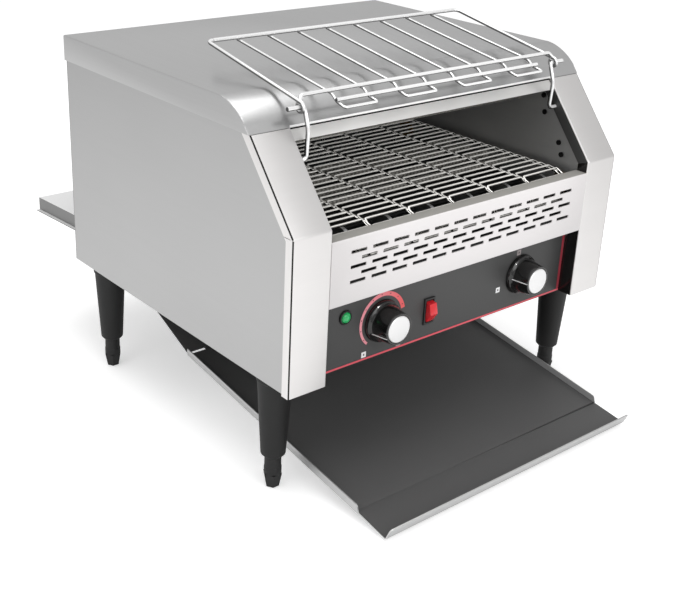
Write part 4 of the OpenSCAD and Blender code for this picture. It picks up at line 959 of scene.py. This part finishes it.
for i, (y, z) in enumerate(ring):
    next_y, next_z = ring[(i + 1) % len(ring)]
    strands.append(copied(strand, (0, y, z), (math.atan2(z - next_z, y - next_y), 0, 0)))
bpy.data.objects.remove(strand)
fit_piece(joined(strands), "wire_belt", "casing", "wire_steel", wire_paint, "conveyor_belt")
paint_nodes(shaft_paint, "front_shaft", "drive_shaft", "front_discs", "drive_discs", "motor_sprocket",
            "drive_sprocket")


# Heaters: clear quartz tubes round a coiled element, held in glazed ceramic
# at the inner walls; bushes of oily bronze carry the shafts.
quartz_glass, tree, place = new_material("quartz_tube_over_coil")
# The coil is drawn as bands 6 mm apart, coarser than the real one, so that it shows
coil = add_node(tree, "ShaderNodeTexWave", {"bands_direction": "X", "Scale": 55.0},
                {"Vector": place}).outputs["Fac"]
shade(tree, ("76736E", "9E9B94"), coil, {"Roughness": 0.12, "Coat Weight": 0.6},
      coil, bump=0.1, distance=0.0003)
# Cream glaze with a soft shine, and bronze dark with oil
ceramic = plain_gloss("glazed_ceramic", "E4DFD2", rough=0.30, grain=400.0, bump=0.06)
bronze = plain_gloss("oiled_sintered_bronze", "9A7B4F", rough=0.40, grain=1500.0, bump=0.12, metal=1.0)
paint_nodes(quartz_glass, "upper_heaters", "lower_heaters")
paint_nodes(ceramic, "heater_holders", "terminal_block", "heat_selector")
paint_nodes(bronze, "shaft_bushes")


# Drive and electrics, out of sight in the casing: a gear motor in thick grey
# paint with an oiled chain, a fan, a green lacquered board and a cable gland.
motor_paint = plain_gloss("grey_painted_cast_motor", "6E7276", rough=0.45, grain=600.0, bump=0.15)
chain_paint = plain_gloss("oiled_roller_chain", "57524A", rough=0.35, grain=800.0, bump=0.20, metal=1.0)
board_paint = plain_gloss("green_lacquered_board", "2F6B43", rough=0.30, grain=900.0, bump=0.05)
paint_nodes(motor_paint, "gear_motor", "speed_control")
paint_nodes(chain_paint, "drive_chain")
paint_nodes(board_paint, "speed_board")
paint_nodes(black_plastic, "fan_frame", "fan_rotor", "cable_gland")


# Folding rack: chromed wire. Two bowed arms stand in the inner walls and end
# in pins, and the rack's side rails are wound round the pins. Its long wires
# run under the bars in pairs that end in loops.
arm_y = front_y + 0.056
arm_z = 0.340
arm_h = 0.050
arm_back = 0.005
arm_bow = 0.007
bow_at = 0.6
arm_r = 0.0022
arm_x = 0.1745
arm_pin = 0.020
arm_bend = 0.0050
arm_reach = 0.1929
pivot_y = arm_y + arm_back
pivot_z = arm_z + arm_h
# Chrome with a painted reflection: pale on faces turned to the light above, grey on the rest as the room
chrome = painted_light_steel("chromed_wire_painted_reflection", ("707070", "FCFCFC"), rough=0.16, grain=(30.0, 30.0, 30.0),
                        bump=0.03, lit_metal=0.50, lit=(0.26, -0.42, 0.87), edge=(-0.10, 0.25))
right_arm = bent_wire([(arm_reach, arm_y, arm_z), (arm_x, arm_y, arm_z),
                       (arm_x, pivot_y - arm_bow, arm_z + arm_h * bow_at), (arm_x, pivot_y, pivot_z),
                       (arm_x + arm_pin, pivot_y, pivot_z)],
                      arm_r, bend=arm_bend, sides=16, least_turn=8, segments=6)
left_arm = mirrored(right_arm)
fit_piece(right_arm, "arm_wire_right", "arms", "rack_chrome", chrome, "rack_arm_right")
fit_piece(left_arm, "arm_wire_left", "arms", "rack_chrome", chrome, "rack_arm_left")

rack_x = 0.1791
rack_l = 0.158
rack_tilt = math.radians(10.5)
frame_r = 0.0020
rear_r = 0.0022
long_r = 0.0015
rack_pairs = 4
bar_lift = 0.0045
bar_back = 0.0040
bar_step = 0.0130
rack_drop = 0.0044
loop_l = 0.0110
loop_flare = 0.0010
loop_fall = 0.0005
rail_z = 0.0046
hang = 0.0029
corner_r = 0.0070
bar_bend = 0.0020
loop_bend = 0.0030
eye_steps = 14
eye_sides = 16
past = frame_r + long_r / 2
long_pitch = 2 * rack_x / (2 * rack_pairs + 1)
bar_y = arm_r + bar_back
bar_z = rail_z + bar_lift
rear_z = 0.0013
front_z = bar_z - hang
low_x = rack_x - long_pitch + 2 * long_r
low_y = bar_y - bar_step
low_z = front_z - rack_drop
back_y = rack_l - arm_r


def rack_wire(points, radius, **settings):
    """Bend a wire through places on the folded rack, each given from its pivot"""
    places = [(x, pivot_y + y * math.cos(rack_tilt) - z * math.sin(rack_tilt),
               pivot_z + y * math.sin(rack_tilt) + z * math.cos(rack_tilt)) for x, y, z in points]
    return bent_wire(places, radius, sides=12, **settings)


# Each side rail starts as an eye, wound round the arm's pin
eye = [(rail_z * math.sin(a), rail_z * math.cos(a))
       for a in (-2 * math.pi * i / eye_sides for i in reversed(range(eye_steps)))]
wires = []
for side in (-1, 1):
    rail = [(side * rack_x, y, z) for y, z in eye]
    rail += [(side * rack_x, back_y, rail_z), (side * (rack_x - corner_r * 1.5), back_y, rail_z)]
    wires.append(rack_wire(rail, frame_r, bend=corner_r, least_turn=60, segments=8))
bar_x = rack_x - bar_back
wires.append(rack_wire([(-rack_x, arm_r, rail_z), (-bar_x, bar_y, bar_z), (bar_x, bar_y, bar_z),
                        (rack_x, arm_r, rail_z)], frame_r, bend=bar_bend))
rear_x = rack_x - corner_r
wires.append(rack_wire([(-rear_x, back_y, rail_z), (rear_x, back_y, rail_z)], rear_r))
wires.append(rack_wire([(-low_x, low_y, low_z + hang), (low_x, low_y, low_z + hang)], frame_r))
half_loop = [(0, back_y + rear_r, rear_z), (0, bar_y - past, front_z), (0, low_y + past, low_z),
             (-loop_flare, low_y - loop_l, low_z - loop_fall)]
for pair in range(rack_pairs):
    left_x = -rack_x + (2 * pair + 1) * long_pitch
    loop = [(left_x + x, y, z) for x, y, z in half_loop]
    loop += [(left_x + long_pitch - x, y, z) for x, y, z in reversed(half_loop)]
    wires.append(rack_wire(loop, long_r, bend=loop_bend, least_turn=12))
fit_piece(joined(wires), "wire_rack", "rack", "rack_chrome", chrome, "feed_rack")


# Legs and feet: tapering moulded plastic legs, with feet that screw in and
# end in a hexagon with a chamfered foot.
base_z = 0.128
collar_r = 0.0190
foot_top = 0.036
socket_r = 0.0093
socket_z = foot_top + 0.0060
stem_top = foot_top + 0.0070
hex_r = 0.0104
hex_h = 0.0150
hex_stem_r = 0.0092
hex_taper = 0.72
hex_edge = 0.0008
leg_axis = Vector((0, 0, 1))
sideways = Vector((1, 0, 0))
# Fine grain from the mould, under 1 mm: nearly black with hardly a shine
leg_plastic = plain_gloss("fine_grained_black_plastic", "0A0A0A", rough=0.60, grain=1200.0, bump=0.25)
foot_plastic = plain_gloss("smooth_black_foot", "0D0D0D", rough=0.52, grain=1200.0, bump=0.20)
for corner_name in ("front_left", "front_right", "rear_left", "rear_right"):
    leg_low, leg_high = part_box("leg_" + corner_name)
    x = (leg_low.x + leg_high.x) / 2
    y = (leg_low.y + leg_high.y) / 2
    # Each corner is given as its height and its radius
    leg = turned((x, y, 0.0),
                 [(base_z, 0.0), (base_z, collar_r), (base_z - 0.0040, collar_r), (base_z - 0.0048, 0.0178),
                  (foot_top + 0.0030, 0.0130), (foot_top, 0.0102), (foot_top, socket_r),
                  (socket_z, socket_r), (socket_z, 0.0)],
                 0.0006, leg_axis, sideways)
    fit_piece(leg, "leg_tube_" + corner_name, "casing", "leg_plastic", leg_plastic, "leg_" + corner_name)
    stem = turned((x, y, 0.0),
                  [(stem_top, 0.0), (stem_top, 0.0086), (0.0230, 0.0088), (0.0225, hex_stem_r),
                   (0.0140, hex_stem_r), (0.0140, 0.0)],
                  0.0002, leg_axis, sideways)
    deselect()
    bpy.ops.mesh.primitive_cylinder_add(vertices=6, radius=hex_r, depth=hex_h, location=(x, y, hex_h / 2),
                                        rotation=(0, 0, math.pi / 6))
    hexagon = bpy.context.object
    settle()
    choose(hexagon, "FACE", lambda c: near(c.z, 0))
    bpy.ops.transform.resize(value=(hex_taper, hex_taper, 1))
    extrude(0, 0, 0)
    outward(hexagon)
    choose(hexagon, "EDGE", lambda c: near(math.hypot(c.x - x, c.y - y), hex_r, 3e-4) and near(c.z, hex_h))
    bpy.ops.mesh.bevel(offset=hex_edge, segments=2, affect="EDGES")
    smooth(hexagon, 35)
    fit_piece(joined([stem, hexagon]), f"foot_{corner_name}_end", corner_name + "_foot", "foot_plastic",
              foot_plastic, "foot_" + corner_name)


# Catch tray: a sloping steel sheet with a dark coat inside, lips turned up at
# both sides and a front lip that leans out; the lips' ends are rounded.
tray_low, tray_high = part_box("catch_tray")
tray_out = front_y - 0.096
tray_back = front_y + 0.246
tray_tilt = math.radians(8.6)
tray_z = 0.0025
lip_front = 0.014
lip_lean = 0.006
lip_side = 0.009
lip_gap = 0.042
lip_round = 0.0035
lip_start = tray_out + lip_gap
lip_middle = (lip_start + tray_back) / 2
# Bare brushed steel outside, a dull dark coat inside, and painted light on the right lip's inner face
bare_lip = brushed_steel("bare_stainless_lip", "D2D2D2", rough=0.42, grain=(200.0, 3.0, 3.0),
                         bump=0.10, spread=0.02)
lit_lip_paint = plain_gloss("painted_light_on_right_lip", "A0A0A0", rough=0.42, grain=900.0, bump=0.10)
tray = plate((0, (tray_out + tray_back) / 2, tray_z), tray_high.x - tray_low.x, tray_back - tray_out)
choose(tray, "FACE")
bpy.ops.mesh.bisect(plane_co=(0, lip_start, 0), plane_no=(0, 1, 0))
choose(tray, "EDGE", lambda c: near(c.y, tray_out))
extrude(0, -lip_lean, lip_front)
for side in (-1, 1):
    choose(tray, "EDGE", lambda c: near(c.x * side, tray_high.x) and c.y > lip_start)
    extrude(0, 0, lip_side)
end_edit()
for corner in tray.data.vertices:
    corner.co.z += max(corner.co.y - tray_out, 0.0) * math.tan(tray_tilt)
choose(tray, "VERT", lambda c: near(abs(c.x), tray_high.x)
       and (near(c.y, tray_out - lip_lean)
            or near(c.y, lip_start) and c.z > tray_z + lip_gap * math.tan(tray_tilt) + lip_side / 2))
bpy.ops.mesh.bevel(offset=lip_round, segments=5, affect="VERTICES")
outward(tray)
if max(tray.data.polygons, key=lambda f: f.area).normal.z > 0:
    flip(tray)
coat(tray, bare_lip, dark_coat, lit_lip_paint)
choose(tray, "EDGE", lambda c: near(c.y, tray_out, 1e-4)
       or (near(abs(c.x), tray_high.x) and near(c.y, lip_middle, 1e-3)
           and c.z < tray_z + (c.y - tray_out) * math.tan(tray_tilt) + margin))
folded(tray, material_offset=1)
smooth(tray, 30)
# The right lip's inner face gets the painted light
for face in tray.data.polygons:
    from_lip = face.center.y - tray_out
    if near(abs(face.center.x), tray_high.x, 1e-4) and 3 * margin < from_lip < lip_gap - margin:
        face.material_index = 1
    elif face.center.x > 0 and face.normal.x < -straight_on:
        face.material_index = 2
fit_piece(tray, "tray_sheet", "tray", "dark_coat", None, "catch_tray")


# Screws: low round heads of blackened steel, in the inner walls and the
# flange of the rear guard.
screw_paint = brushed_steel("blackened_screws", "242424", rough=0.34, grain=(90.0, 90.0, 90.0), bump=0.05)
paint_nodes(screw_paint, "wall_screws")
